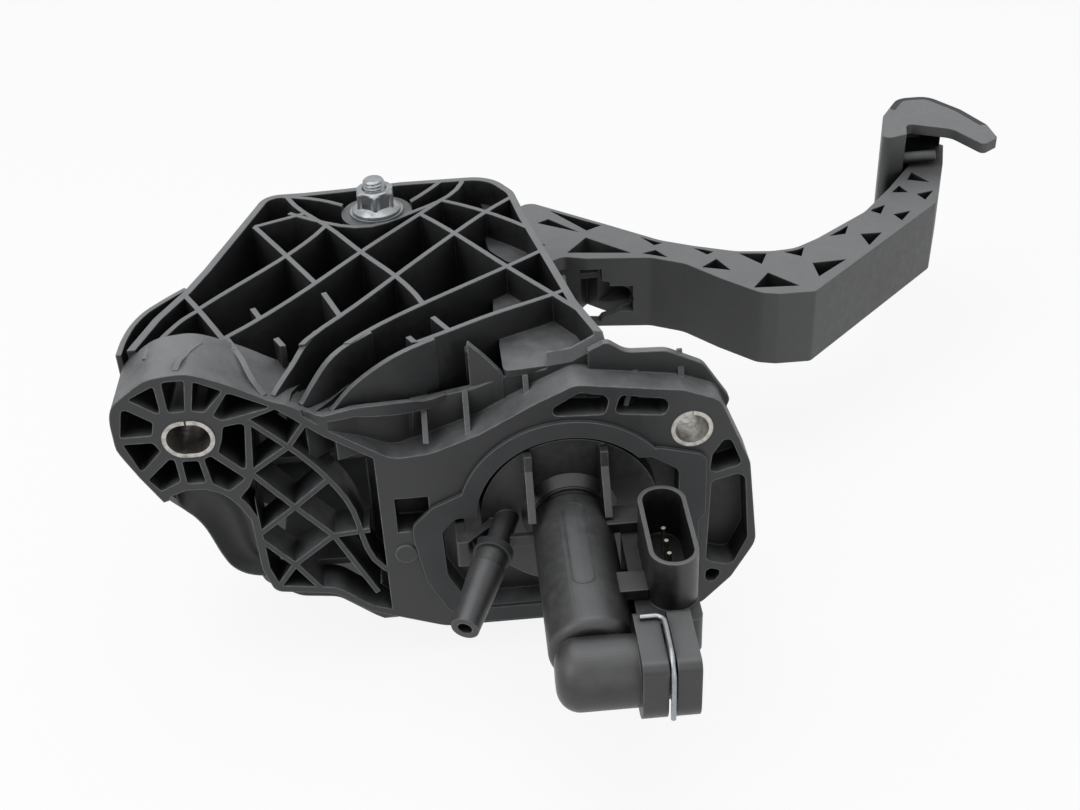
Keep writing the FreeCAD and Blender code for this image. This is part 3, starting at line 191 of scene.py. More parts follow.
def rounded(corners, radius, steps=4):
    """Closed outline whose corners are curves that start and end one radius from the corner."""
    corners = np.asarray(corners, float)
    to_before = np.roll(corners, 1, axis=0) - corners
    to_after = np.roll(corners, -1, axis=0) - corners
    length_before = np.linalg.norm(to_before, axis=1, keepdims=True)
    length_after = np.linalg.norm(to_after, axis=1, keepdims=True)
    start = corners + to_before / length_before * np.minimum(radius, length_before * 0.45)
    end = corners + to_after / length_after * np.minimum(radius, length_after * 0.45)
    part = np.linspace(0, 1, steps)[None, :, None]
    curve = (1 - part) ** 2 * start[:, None] + 2 * part * (1 - part) * corners[:, None]
    return (curve + part ** 2 * end[:, None]).reshape(-1, 2)


def plate(name, loops, near, far, order=(0, 2, 1)):
    """Plate with holes: the first loop is its outline, the others are its holes, in mm.

    Two flat faces, at the depths near and far, carry the same triangles, and a wall joins them
    along each loop. The order says which axis takes the loops' two numbers and the depth.
    """
    flat = np.vstack(loops)
    count = len(flat)
    corners = [[Vector((a, b, 0)) for a, b in loop] for loop in loops]
    triangles = np.array(tessellate_polygon(corners))
    walls = []
    first = 0
    for loop in loops:
        index = np.arange(len(loop)) + first
        after = np.roll(index, -1)
        walls.append(np.stack([index, after, after + count, index + count], axis=-1))
        first += len(loop)
    places = np.zeros((2 * count, 3))
    places[:, order[0]] = np.tile(flat[:, 0], 2)
    places[:, order[1]] = np.tile(flat[:, 1], 2)
    places[:count, order[2]] = near
    places[count:, order[2]] = far
    faces = triangles.tolist() + (triangles[:, ::-1] + count).tolist() + np.vstack(walls).tolist()
    return closed_mesh(name, places * MM, faces)


def closed_mesh(name, places, faces):
    """Mesh whose double points are merged, with its faces outwards and its sharp edges marked."""
    mesh = bpy.data.meshes.new(name)
    mesh.from_pydata(places.tolist(), [], faces)
    mesh.validate()
    shape = bmesh.new()
    shape.from_mesh(mesh)
    bmesh.ops.remove_doubles(shape, verts=shape.verts, dist=SAME_POINT)
    bmesh.ops.recalc_face_normals(shape, faces=shape.faces)
    if shape.calc_volume(signed=True) < 0:
        bmesh.ops.reverse_faces(shape, faces=shape.faces)
    shape.to_mesh(mesh)
    shape.free()
    mesh.polygons.foreach_set("use_smooth", np.ones(len(mesh.polygons), bool))
    mesh.set_sharp_from_angle(angle=math.radians(SHARP_ANGLE))
    return mesh


def cut_copy(node, name, cutters, added=(), least=1000):
    """Copy of a CAD node's mesh, merged, less the cutters and joined with the added meshes."""
    mesh = frame["nodes"][node].data.copy()
    mesh.name = name
    if "custom_normal" in mesh.attributes:
        mesh.attributes.remove(mesh.attributes["custom_normal"])
    shape = bmesh.new()
    shape.from_mesh(mesh)
    bmesh.ops.remove_doubles(shape, verts=shape.verts, dist=SAME_CAD_POINT)
    shape.to_mesh(mesh)
    shape.free()
    piece = bpy.data.objects.new(name, mesh)
    bpy.context.scene.collection.objects.link(piece)
    tools = []
    steps = [("DIFFERENCE", mesh) for mesh in cutters] + [("UNION", mesh) for mesh in added]
    for operation, mesh in steps:
        tool = bpy.data.objects.new(mesh.name, mesh)
        bpy.context.scene.collection.objects.link(tool)
        tools.append(tool)
        cut = piece.modifiers.new(mesh.name, "BOOLEAN")
        cut.operation = operation
        cut.solver = "MANIFOLD"
        cut.object = tool
    graph = bpy.context.evaluated_depsgraph_get()
    result = bpy.data.meshes.new_from_object(piece.evaluated_get(graph))
    for made in [piece] + tools:
        bpy.data.objects.remove(made)
    if len(result.polygons) < least:
        raise RuntimeError("the cut of " + node + " left too little")
    result.name = name
    result.polygons.foreach_set("use_smooth", np.ones(len(result.polygons), bool))
    result.set_sharp_from_angle(angle=math.radians(SHARP_CUT_ANGLE))
    return result


def fin(name, line, top, low, width):
    """Upright fin in mm: a curve in plan, with a top and a foot height at each of its points.

    Its sides lie half the width to the left and right of the curve's direction.
    """
    line = np.asarray(line, float)
    ahead = np.gradient(line, axis=0)
    ahead /= np.linalg.norm(ahead, axis=1, keepdims=True)
    side = np.stack([-ahead[:, 1], ahead[:, 0]], axis=-1) * width / 2
    left, right = line + side, line - side
    rows = np.stack([
        np.column_stack([left, low]), np.column_stack([right, low]),
        np.column_stack([right, top]), np.column_stack([left, top])], axis=1)
    return sheet_mesh(name, rows * MM)


def show(name, mesh, body, material, replaced=()):
    """Object of a finished mesh that rides on a body and takes its material."""
    piece = bpy.data.objects.new(name, mesh)
    bpy.context.scene.collection.objects.link(piece)
    mesh.materials.clear()
    mesh.materials.append(material)
    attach(piece, body)
    if replaced:
        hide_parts(*replaced)
    return piece


def carried(path, radius, around=12, flat=1.0, up=(0, 0, 1)):
    """Round section carried along a path.

    At each point the section is a circle of the radius across the path's direction, pressed
    together by the factor flat along up.
    """
    path = np.asarray(path, float)
    ahead = np.gradient(path, axis=0)
    ahead /= np.linalg.norm(ahead, axis=1, keepdims=True)
    side = np.cross(ahead, np.asarray(up, float))
    side /= np.linalg.norm(side, axis=1, keepdims=True)
    top = np.cross(side, ahead)
    turn = np.linspace(0, 2 * np.pi, around, endpoint=False)
    ring = side[:, None] * np.cos(turn)[None, :, None]
    ring = ring + top[:, None] * np.sin(turn)[None, :, None] * flat
    return path[:, None] + ring * radius


def smooth_path(corners, count):
    """Curve through corner points: a cubic between each pair, with the neighbours' slope."""
    corners = np.asarray(corners, float)
    padded = np.vstack([2 * corners[0] - corners[1], corners, 2 * corners[-1] - corners[-2]])
    place = np.linspace(0, len(corners) - 1 - 1e-9, count)
    start = place.astype(int)
    part = (place - start)[:, None]
    before, first, last, after = (padded[start + k] for k in range(4))
    return 0.5 * (2 * first + (last - before) * part
                  + (2 * before - 5 * first + 4 * last - after) * part ** 2
                  + (3 * first - before - 3 * last + after) * part ** 3)


def around_pivot(turn, radius, z):
    """Points round the pivot's axis, by direction, radius and height."""
    return np.stack([PIVOT[0] + radius * np.cos(turn), PIVOT[1] + radius * np.sin(turn), z],
                    axis=-1)


def hexagon_radius(turn, flats):
    """Radius of a hexagon by direction: half the flats over the cosine from the nearest flat."""
    step = np.pi / 3
    return flats / 2 / np.cos((turn + step / 2) % step - step / 2)


# Materials


def add(tree, kind, inputs=(), **settings):
    """Add a node, set its properties, and fill its sockets with values or links."""
    made = tree.nodes.new(kind)
    for name, value in settings.items():
        setattr(made, name, value)
    for key, value in dict(inputs).items():
        if isinstance(value, bpy.types.NodeSocket):
            tree.links.new(value, made.inputs[key])
        else:
            made.inputs[key].default_value = value
    return made


def blank(name):
    """Material with an empty node tree."""
    material = bpy.data.materials.new(name)
    material.use_nodes = True
    material.node_tree.nodes.clear()
    return material


def rgba(colour, gain=1.0):
    """Colour with an alpha of 1, made lighter or darker by a gain."""
    return tuple(min(1.0, c * gain) for c in colour) + (1.0,)


def worn_edges(tree, rounded, true_normal, most=1.0):
    """0 on flat faces, up to most where the rounded normal turns away from the true one."""
    alike = add(tree, "ShaderNodeVectorMath", {0: rounded, 1: true_normal},
                operation="DOT_PRODUCT").outputs["Value"]
    return add(tree, "ShaderNodeMapRange", {
        "Value": alike, "From Min": 0.99, "From Max": 0.8, "To Max": most,
    }).outputs["Result"]


def seen_rays(tree):
    """1 for rays that the camera, a gloss or a clear piece sends, 0 for all others."""
    path = add(tree, "ShaderNodeLightPath").outputs
    seen = add(tree, "ShaderNodeMath", {0: path["Is Camera Ray"], 1: path["Is Glossy Ray"]},
               operation="MAXIMUM").outputs[0]
    return add(tree, "ShaderNodeMath", {0: seen, 1: path["Is Transmission Ray"]},
               operation="MAXIMUM").outputs[0]


def worn_nylon(name, base, rough, dust_share, wear_share, soil_share, rub_and_light_share):
    """Glass-filled nylon, moulded dark grey, with use on it.

    The eye sees a satin face with a fine grain, edges that handling has scuffed lighter, open top
    faces made lighter partly by rubbing and partly by a painted highlight, dust that lies on floors
    that look up, brown soil in patches, and pockets darkened almost to black by painted shade.
    """
    look = bpy.context.scene.clutch_pedal_colours
    sizes = bpy.context.scene.clutch_pedal_sizes
    material = blank(name)
    tree = material.node_tree
    place = add(tree, "ShaderNodeTexCoord").outputs["Object"]
    true_normal = add(tree, "ShaderNodeNewGeometry").outputs["True Normal"]
    # patches of handling, about 14 mm across
    patches = add(tree, "ShaderNodeTexNoise", {
        "Vector": place, "Scale": 1 / (14 * MM), "Detail": 5.0, "Roughness": 0.62,
    }).outputs["Fac"]
    # scratches and flow marks, about 3 mm across
    marks = add(tree, "ShaderNodeTexNoise", {
        "Vector": place, "Scale": 1 / (3 * MM), "Detail": 6.0, "Roughness": 0.7,
    }).outputs["Fac"]
    # glass grain: really 0.05 mm, drawn at 0.5 mm so that it shows
    grain = add(tree, "ShaderNodeTexNoise", {
        "Vector": place, "Scale": 1 / (0.5 * MM), "Detail": 2.0, "Roughness": 0.6,
    }).outputs["Fac"]
    rounded = add(tree, "ShaderNodeBevel", {"Radius": sizes.edge_round},
                  samples=6).outputs["Normal"]
    # upright part of the normal, and how open the surroundings are within 24 mm
    height = add(tree, "ShaderNodeSeparateXYZ", {"Vector": true_normal}).outputs["Z"]
    open_air = add(tree, "ShaderNodeAmbientOcclusion", {"Distance": 24 * MM},
                   samples=8).outputs["AO"]

    # scuffed edges
    scuffs = add(tree, "ShaderNodeMapRange", {
        "Value": marks, "From Min": 0.32, "From Max": 0.6,
        "To Min": 0.25 * wear_share, "To Max": wear_share,
    }).outputs["Result"]
    edges = worn_edges(tree, rounded, true_normal)
    wear = add(tree, "ShaderNodeMath", {0: edges, 1: scuffs}, operation="MULTIPLY").outputs[0]
    # dust: on floors that look up, in patches, and not in the deepest pockets
    up = add(tree, "ShaderNodeMapRange", {
        "Value": height, "From Min": 0.35, "From Max": 0.95, "To Max": dust_share,
    }).outputs["Result"]
    lies = add(tree, "ShaderNodeMapRange", {
        "Value": patches, "From Min": 0.3, "From Max": 0.62, "To Min": 0.35,
    }).outputs["Result"]
    airy = add(tree, "ShaderNodeMapRange", {
        "Value": open_air, "From Min": 0.14, "From Max": 0.45,
    }).outputs["Result"]
    dust = add(tree, "ShaderNodeMath", {0: up, 1: lies}, operation="MULTIPLY").outputs[0]
    dust = add(tree, "ShaderNodeMath", {0: dust, 1: airy}, operation="MULTIPLY").outputs[0]
    # rubbed faces, partly real rubbing and partly a painted highlight on the tops: level and open
    # faces take the worn colour
    level = add(tree, "ShaderNodeMapRange", {
        "Value": height, "From Min": 0.9, "From Max": 0.99,
    }).outputs["Result"]
    bare_and_lit = add(tree, "ShaderNodeMapRange", {
        "Value": open_air, "From Min": 0.86, "From Max": 0.97, "To Max": rub_and_light_share,
    }).outputs["Result"]
    rubbed_and_lit = add(tree, "ShaderNodeMath", {0: level, 1: bare_and_lit}, operation="MULTIPLY").outputs[0]
    soiled = add(tree, "ShaderNodeMapRange", {
        "Value": marks, "From Min": 0.42, "From Max": 0.66, "To Max": soil_share,
    }).outputs["Result"]
    # painted shade in pockets: the colour is darkened down to a tenth of itself where the
    # surroundings within 24 mm are shut
    shut = add(tree, "ShaderNodeMapRange", {
        "Value": open_air, "From Min": 0.84, "From Max": 0.38,
    }).outputs["Result"]
    painted_shade_gain = add(tree, "ShaderNodeMapRange", {
        "Value": shut, "To Min": 1.0, "To Max": 0.1,
    }).outputs["Result"]
    shade = add(tree, "ShaderNodeCombineColor", {"Red": painted_shade_gain, "Green": painted_shade_gain, "Blue": painted_shade_gain})

    body = add(tree, "ShaderNodeMix", {
        "Factor": patches, "A": rgba(base, 0.86), "B": rgba(base, 1.22),
    }, data_type="RGBA").outputs["Result"]
    # brown soil, then the rubbed tops with their painted highlight, then the scuffed edges
    for share, colour in ((soiled, look.soil), (rubbed_and_lit, look.worn), (wear, look.worn)):
        body = add(tree, "ShaderNodeMix", {"Factor": share, "A": body, "B": rgba(colour)},
                   data_type="RGBA").outputs["Result"]
    # painted shade: the colour is multiplied by the pocket darkening
    body = add(tree, "ShaderNodeMix", {"Factor": 1.0, "A": body, "B": shade.outputs["Color"]},
               data_type="RGBA", blend_type="MULTIPLY").outputs["Result"]
    body = add(tree, "ShaderNodeMix", {"Factor": dust, "A": body, "B": rgba(look.dust)},
               data_type="RGBA").outputs["Result"]
    sheen = add(tree, "ShaderNodeMapRange", {
        "Value": marks, "From Min": 0.3, "From Max": 0.7,
        "To Min": rough - 0.07, "To Max": rough + 0.1,
    }).outputs["Result"]
    bump = add(tree, "ShaderNodeBump", {
        "Strength": 0.35, "Distance": 0.06 * MM, "Height": grain, "Normal": rounded,
    }).outputs["Normal"]
    shader = add(tree, "ShaderNodeBsdfPrincipled", {
        "Base Color": body, "Roughness": sheen, "IOR": 1.53, "Normal": bump})
    add(tree, "ShaderNodeOutputMaterial", {"Surface": shader.outputs[0]})
    return material


def metal(name, base, rough, stain, stain_share, grain_mm):
    """Metal with a fine grain and stains.

    The eye sees a bright surface whose gloss changes in small patches, duller where it is stained.
    """
    material = blank(name)
    tree = material.node_tree
    place = add(tree, "ShaderNodeTexCoord").outputs["Object"]
    patches = add(tree, "ShaderNodeTexNoise", {
        "Vector": place, "Scale": 1 / (2.2 * MM), "Detail": 5.0, "Roughness": 0.65,
    }).outputs["Fac"]
    grain = add(tree, "ShaderNodeTexNoise", {
        "Vector": place, "Scale": 1 / (grain_mm * MM), "Detail": 2.0,
    }).outputs["Fac"]
    rounded = add(tree, "ShaderNodeBevel", {"Radius": 0.25 * MM}, samples=4).outputs["Normal"]
    stained = add(tree, "ShaderNodeMapRange", {
        "Value": patches, "From Min": 0.45, "From Max": 0.7, "To Max": stain_share,
    }).outputs["Result"]
    body = add(tree, "ShaderNodeMix", {"Factor": stained, "A": rgba(base), "B": rgba(stain)},
               data_type="RGBA").outputs["Result"]
    sheen = add(tree, "ShaderNodeMapRange", {
        "Value": patches, "From Min": 0.3, "From Max": 0.7,
        "To Min": rough - 0.06, "To Max": rough + 0.14,
    }).outputs["Result"]
    bump = add(tree, "ShaderNodeBump", {
        "Strength": 0.2, "Distance": 0.03 * MM, "Height": grain, "Normal": rounded,
    }).outputs["Normal"]
    shader = add(tree, "ShaderNodeBsdfPrincipled", {
        "Base Color": body, "Roughness": sheen, "Metallic": 1.0, "Normal": bump})
    add(tree, "ShaderNodeOutputMaterial", {"Surface": shader.outputs[0]})
    return material


def soft_rubber(name, base, rough, pore_mm, pore_depth, pale_edge):
    """Rubber or foam, moulded matte.

    The eye sees a dull dark face with pores or fine grain and slightly paler cut edges.
    """
    look = bpy.context.scene.clutch_pedal_colours
    material = blank(name)
    tree = material.node_tree
    place = add(tree, "ShaderNodeTexCoord").outputs["Object"]
    true_normal = add(tree, "ShaderNodeNewGeometry").outputs["True Normal"]
    pores = add(tree, "ShaderNodeTexNoise", {
        "Vector": place, "Scale": 1 / (pore_mm * MM), "Detail": 3.0, "Roughness": 0.7,
    }).outputs["Fac"]
    patches = add(tree, "ShaderNodeTexNoise", {
        "Vector": place, "Scale": 1 / (9 * MM), "Detail": 4.0,
    }).outputs["Fac"]
    rounded = add(tree, "ShaderNodeBevel", {"Radius": 0.6 * MM}, samples=6).outputs["Normal"]
    edges = worn_edges(tree, rounded, true_normal, pale_edge)
    body = add(tree, "ShaderNodeMix", {
        "Factor": patches, "A": rgba(base, 0.8), "B": rgba(base, 1.25),
    }, data_type="RGBA").outputs["Result"]
    body = add(tree, "ShaderNodeMix", {"Factor": edges, "A": body, "B": rgba(look.worn)},
               data_type="RGBA").outputs["Result"]
    bump = add(tree, "ShaderNodeBump", {
        "Strength": 0.5, "Distance": pore_depth * MM, "Height": pores, "Normal": rounded,
    }).outputs["Normal"]
    shader = add(tree, "ShaderNodeBsdfPrincipled", {
        "Base Color": body, "Roughness": rough, "IOR": 1.52, "Normal": bump})
    add(tree, "ShaderNodeOutputMaterial", {"Surface": shader.outputs[0]})
    return material


def finish_of(slot):
    """Material of a record's slot, made the first time that it is asked for."""
    known = {
        "bracket_plastic": "bracket glass-filled nylon", "pedal_plastic": "arm glass-filled nylon",
        "cylinder_plastic": "cylinder nylon", "bush_plastic": "natural acetal",
        "zinc_steel": "zinc plated steel", "sleeve_steel": "rolled steel",
        "spring_steel": "drawn spring steel", "pin_brass": "tinned brass",
        "seal_rubber": "moulded rubber", "foam_rubber": "closed cell foam",
    }
    name = known[slot]
    if name in bpy.data.materials:
        return bpy.data.materials[name]
    look = bpy.context.scene.clutch_pedal_colours
    grey = linear("#5c5a57")
    if slot == "bracket_plastic":
        return worn_nylon(name, look.nylon, 0.5, 0.6, 0.9, 0.1, 0.4)
    if slot == "pedal_plastic":
        return worn_nylon(name, look.arm_nylon, 0.52, 0.3, 0.6, 0.25, 0.35)
    if slot == "cylinder_plastic":
        return worn_nylon(name, look.cylinder_nylon, 0.42, 0.15, 0.55, 0.25, 0.2)
    if slot == "bush_plastic":
        return worn_nylon(name, linear("#4a4944"), 0.4, 0.1, 0.2, 0.1, 0.0)
    if slot == "zinc_steel":
        return metal(name, look.zinc, 0.38, linear("#6f6d69"), 0.6, 0.3)
    if slot == "sleeve_steel":
        return metal(name, look.steel, 0.36, grey, 0.6, 0.4)
    if slot == "spring_steel":
        return metal(name, look.zinc, 0.28, grey, 0.3, 0.3)
    if slot == "pin_brass":
        return metal(name, linear("#c9c6bc"), 0.3, grey, 0.3, 0.3)
    if slot == "seal_rubber":
        return soft_rubber(name, look.rubber, 0.62, 0.5, 0.05, 0.25)
    return soft_rubber(name, look.foam, 0.85, 0.6, 0.1, 0.55)


# Pieces


class CLUTCH_PEDAL_OT_nodes(bpy.types.Operator):
    """Give every CAD node its finish"""

    bl_idname = "clutch_pedal.nodes"
    bl_label = "Finish the CAD pieces"

    def execute(self, context):
        slots = {row["node"]: row["material_slot"] for row in frame["record"]["subparts"]}
        for name, piece in frame["nodes"].items():
            piece.data.materials.clear()
            piece.data.materials.append(finish_of(slots[name]))
        return {"FINISHED"}


# All outlines are in mm. Those of the fan are x and z on the bulkhead face.
FAN_OUTLINE = [
    (-86.5, 50.9), (-91.6, 53), (-99.7, 57.9), (-108.4, 62.3), (-115.3, 64.6), (-122, 64.4),
    (-128.2, 63), (-134.4, 58.7), (-139.3, 54.2), (-140.8, 47.8), (-140.8, 39.4), (-135.6, 27.5),
    (-129.9, 17.1), (-128.2, 17.6), (-127.3, 19.3), (-122, 21.2), (-116, 21), (-111.5, 18.9),
    (-108.6, 16.2), (-106.2, 12.6), (-104.1, 8),
]
FAN_JOIN = [
    (-101.4, 8), (-103.2, 13), (-105.6, 16.6), (-102.2, 20.6), (-100.2, 24.6), (-101, 26),
    (-98.8, 46.4),
]
FAN_POCKETS = [
    [(-133.7, 57), (-125.9, 61), (-125.2, 60.6), (-124.9, 51.9), (-125.7, 51.1)],
    [(-122.7, 62), (-121.7, 62.4), (-115.8, 62.5), (-117.5, 51.3), (-122, 51.2), (-122.6, 52.7)],
    [(-113.3, 61.6), (-112.5, 61.5), (-105.5, 57.9), (-105.6, 57), (-111.7, 50.4), (-115.3, 51.3)],
    [(-103.9, 56.7), (-102.6, 56.4), (-92.2, 51), (-92.2, 50.2), (-106.8, 46.8), (-109.2, 48.9)],
    [(-136.5, 53.1), (-135.1, 53.4), (-127.7, 48), (-128.9, 43.2), (-138.6, 43.2)],
    [(-138.3, 40.6), (-129.1, 40.5), (-127.3, 37.1), (-133.7, 30.4), (-134.8, 30.2)],
    [(-133.1, 26.4), (-125.1, 33.9), (-123.6, 33.3), (-123.2, 24.9), (-129.8, 21.6)],
    [(-121.5, 32.6), (-116.4, 32.4), (-115.4, 23.7), (-121.2, 23.7)],
    [(-114.6, 32.8), (-112.4, 33.9), (-103.3, 24.4), (-103.6, 23.4), (-108.7, 19.5),
     (-113.4, 23.1)],
    [(-106.9, 44.5), (-101.4, 45.3), (-100.2, 44.4), (-102.2, 28.1), (-103.2, 27.9), (-109.8, 35),
     (-108, 39.5)],
]
# the bracket's front edge right of the fan, x and z
FRONT_EDGE = [
    (-77.9, 45.9), (-73.7, 45.3), (-66.4, 46.1), (-58.2, 44.6), (-43.7, 41), (-27.2, 44.1),
    (-18.4, 47.8), (-11, 47.6), (-4, 49.3),
]
# the cells beside the right rim, x and y
SHELF_CELLS = [
    [(-20.9, 141.1), (-12.7, 142.5), (-6.9, 134.4), (-18.4, 121.6), (-20.2, 128.4)],
    [(-20.0, 102.1), (-17.9, 107.2), (-6.1, 105.3), (0.2, 93.8), (-0.8, 88.2), (-12.1, 80.9),
     (-19.3, 92.1)],
    [(-19.3, 59.8), (-14.2, 66.6), (-6.0, 58.3), (-0.5, 55.9), (-20.1, 45.9)],
    [(-19.2, 29.0), (-16.7, 36.4), (-0.0, 47.9), (8.8, 42.1), (12.4, 12.2), (-2.1, 12.7),
     (-18.8, 11.1)],
]
# the ribs' ends: x, y and the height of the top; each runs from the lattice to the front
RIB_ENDS = {
    "outer_wall": [
        (-139.4, 22.5, 59.5), (-139, 31, 59.6), (-137.4, 40, 59.7), (-134.3, 47.6, 59.8),
        (-130, 53.6, 59.8), (-126.4, 58, 59.8), (-122.8, 62, 59.8)],
    "left_ledge_rib": [
        (-116.5, 46.8, 60), (-121.6, 40.5, 60), (-126.2, 31.4, 60), (-128.6, 23.7, 60.5),
        (-129.3, 14, 62.8)],
    "middle_ledge_rib": [
        (-105.9, 27.2, 60), (-111, 22, 61.2), (-114.9, 15, 63.8), (-117.3, 7.5, 65.4),
        (-118.3, 2.5, 65)],
    "diagonal_ledge_rib": [
        (-105.9, 27.2, 60), (-100.6, 16, 59.6), (-96.4, 6, 57.4), (-92.8, 1.6, 54.2)],
    "right_ledge_rib": [
        (-77.3, 27.3, 60), (-81.3, 20.3, 59), (-84.4, 13.9, 57), (-87.5, 8.7, 55),
        (-90.6, 3, 53)],
    "long_rib_end": [
        (-60, 24.8, 60), (-68.5, 17.6, 59.5), (-73.7, 11.8, 58), (-78.2, 7, 54),
        (-82.6, 3.2, 48.6)],
    "low_rib_end": [
        (-40, 18, 60), (-50.4, 11.6, 59.6), (-58.4, 8.4, 56.9), (-66.8, 5.6, 52),
        (-73.6, 2.6, 45.8)],
    "front_wall": [
        (-75.5, 0.9, 45.6), (-66.4, 1.4, 47.2), (-58.2, 2.8, 46.8), (-50.5, 6, 45),
        (-43.7, 10, 42.5), (-38, 12.6, 42.5)],
    "stub_end": [(-29.5, 14, 60), (-24.5, 13.2, 55), (-19, 12.6, 48.4)],
}
# the rim and the outer edge of the hollow below the fan, x and z
TRAY_RIM = [
    (-124.5, 21.6), (-118.5, 21.8), (-112.3, 19.9), (-108, 16.4), (-104.6, 10), (-103.4, 2),
    (-102.8, -7), (-101.6, -15), (-98.5, -21.5),
]
TRAY_EDGE = [
    (-128.6, 12.5), (-127.4, 7.2), (-123.6, 2.4), (-121, -2.4), (-119.2, -8), (-117.4, -14),
    (-114.6, -20), (-109.4, -24), (-100, -26),
]
# sizes in mm: depths are behind the bulkhead face, tops and heights are z
FAN_LEFT = -140.8
FAN_DEPTH = 24
POCKET_CORNER = 0.9
LEDGE_DEPTH = 20
WEB_TOP = 27.0
RIB_WIDTH = 1.8
SHELF_HEIGHT = 50
SHELF_WALL = 2.5
SHELF_CORNER = 2.5
# cutters start left of, in front of and above all of the bracket
CUT_LEFT, CUT_FRONT, CUT_TOP = -150, -3, 80


class CLUTCH_PEDAL_OT_bracket(bpy.types.Operator):
    """Cut the bracket's copy and join its fan, ledge, ribs' ends, cell floors and hollow"""

    bl_idname = "clutch_pedal.bracket"
    bl_label = "Bracket moulding"

    def execute(self, context):
        finish = finish_of("bracket_plastic")
        cutters = [self.fan_cutter(), self.ledge_cutter(), self.spine_cutter()]
        added = [self.fan()] + self.ribs() + self.shelves() + [self.floor(), self.tray()]
        mesh = cut_copy("pedal_bracket", "bracket_moulding", cutters, added)
        show("bracket_moulding", mesh, "bracket", finish, ["pedal_bracket"])
        return {"FINISHED"}

    def ledge_height(self, x):
        """Height of the bracket's front edge over x: straight between the outline's points."""
        line = np.array(FAN_OUTLINE[9::-1] + FRONT_EDGE)
        return np.interp(x, line[:, 0], line[:, 1])

    def fan_cutter(self):
        """Block across y that takes the plain fan out of the moulding."""
        top = [(CUT_LEFT, 75), (-112.6, 75)] + FAN_OUTLINE[3::-1]
        edge = [(-98.9, 46.4), (-101.1, 26), (-100.3, 24.5), (-101.3, 21), (-101.3, 8.1),
                (-115, 8.1), (-115, -2), (CUT_LEFT, -2)]
        return plate("fan_cutter", [np.array(top + edge, float)], CUT_FRONT, FAN_DEPTH)

    def ledge_cutter(self):
        """Block over the fan: its foot follows the fan's outline, its back is straight."""
        x = np.linspace(CUT_LEFT, -5, 116)
        foot = np.where(x < -141, 5, self.ledge_height(np.maximum(x, FAN_LEFT))) - 0.05
        high, near = np.full(x.shape, float(CUT_TOP)), np.full(x.shape, float(CUT_FRONT))
        back = np.interp(x, [-76, -50], [LEDGE_DEPTH, 16.3])
        rows = np.stack([
            np.column_stack([x, near, foot]), np.column_stack([x, back, foot]),
            np.column_stack([x, back, high]), np.column_stack([x, near, high])], axis=1)
        return sheet_mesh("ledge_cutter", rows * MM)

    def spine_cutter(self):
        """Wedge across x that takes the spine's lower front corner away."""
        corners = [(18, 3.5), (25, 3.5), (44, -24.5), (44, -30), (18, -30)]
        return plate("spine_cutter", [np.array(corners, float)], -146, -121, order=(1, 2, 0))

    def fan(self):
        """Plate with rounded pockets and a hole for the steel sleeve."""
        low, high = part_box("upper_mount_sleeve")
        radius = (high.z - low.z) / 2 / MM + 0.02
        half = (high.x - low.x) / 2 / MM - radius
        turn = np.linspace(0, 2 * np.pi, 64, endpoint=False)
        middle = (low.x + high.x) / 2 / MM, (low.z + high.z) / 2 / MM
        sleeve = np.column_stack([middle[0] + np.sign(np.cos(turn)) * half + radius * np.cos(turn),
                                  middle[1] + radius * np.sin(turn)])
        smooth = smooth_path(FAN_OUTLINE[:12], 60).tolist() + FAN_OUTLINE[12:] + FAN_JOIN
        smooth = np.array(smooth, float)
        smooth[:, 0] = np.maximum(smooth[:, 0], FAN_LEFT)
        pockets = [rounded(pocket, POCKET_CORNER) for pocket in FAN_POCKETS]
        return plate("fixing_fan", [smooth, sleeve] + pockets, 0, FAN_DEPTH)

    def ribs(self):
        """Curved ribs that run down on to the ledge.

        Each one's foot is on the web, but left of x -84 on the ledge it is 2 mm below the ledge's
        height, and so is the whole front wall's. Over the ledge a rib's top is raised to stay at
        least 0.2 mm above that height; the raise fades out over 8 mm behind the ledge.
        """
        made = []
        for name, corners in RIB_ENDS.items():
            path = smooth_path(corners, 40)
            ledge = self.ledge_height(path[:, 0]) - 1
            reaches_web = (path[:, 1] > LEDGE_DEPTH + 1) | (path[:, 0] > -84)
            foot = np.where(reaches_web & (name != "front_wall"), WEB_TOP, ledge - 1)
            on_ledge = np.clip((LEDGE_DEPTH + 7 - path[:, 1]) / 8, 0, 1)
            lift = np.maximum(0, ledge + 1.2 - path[:, 2])
            made.append(fin(name, path[:, :2], path[:, 2] + lift * on_ledge, foot, RIB_WIDTH))
        return made

    def shelves(self):
        """Flat floors in the cells beside the right rim."""
        low = SHELF_HEIGHT - SHELF_WALL
        return [plate("cell_shelf", [rounded(cell, SHELF_CORNER)], low, SHELF_HEIGHT, (0, 1, 2))
                for cell in SHELF_CELLS]

    def floor(self):
        """Sloping floor behind the front edge: straight from the edge to 3 mm lower at its back."""
        x = np.linspace(-92, -58, 30)
        edge = self.ledge_height(x) - 0.3
        near = 1.0 + np.interp(x, [-75, -58], [0, 6])
        back = np.interp(x, [-84, -58], [18, 9.5])
        rows = np.stack([
            np.column_stack([x, near, edge]), np.column_stack([x, back, edge - 3]),
            np.column_stack([x, back, edge - 5]), np.column_stack([x, near, edge - 2])], axis=1)
        return sheet_mesh("ledge_floor", rows * MM)

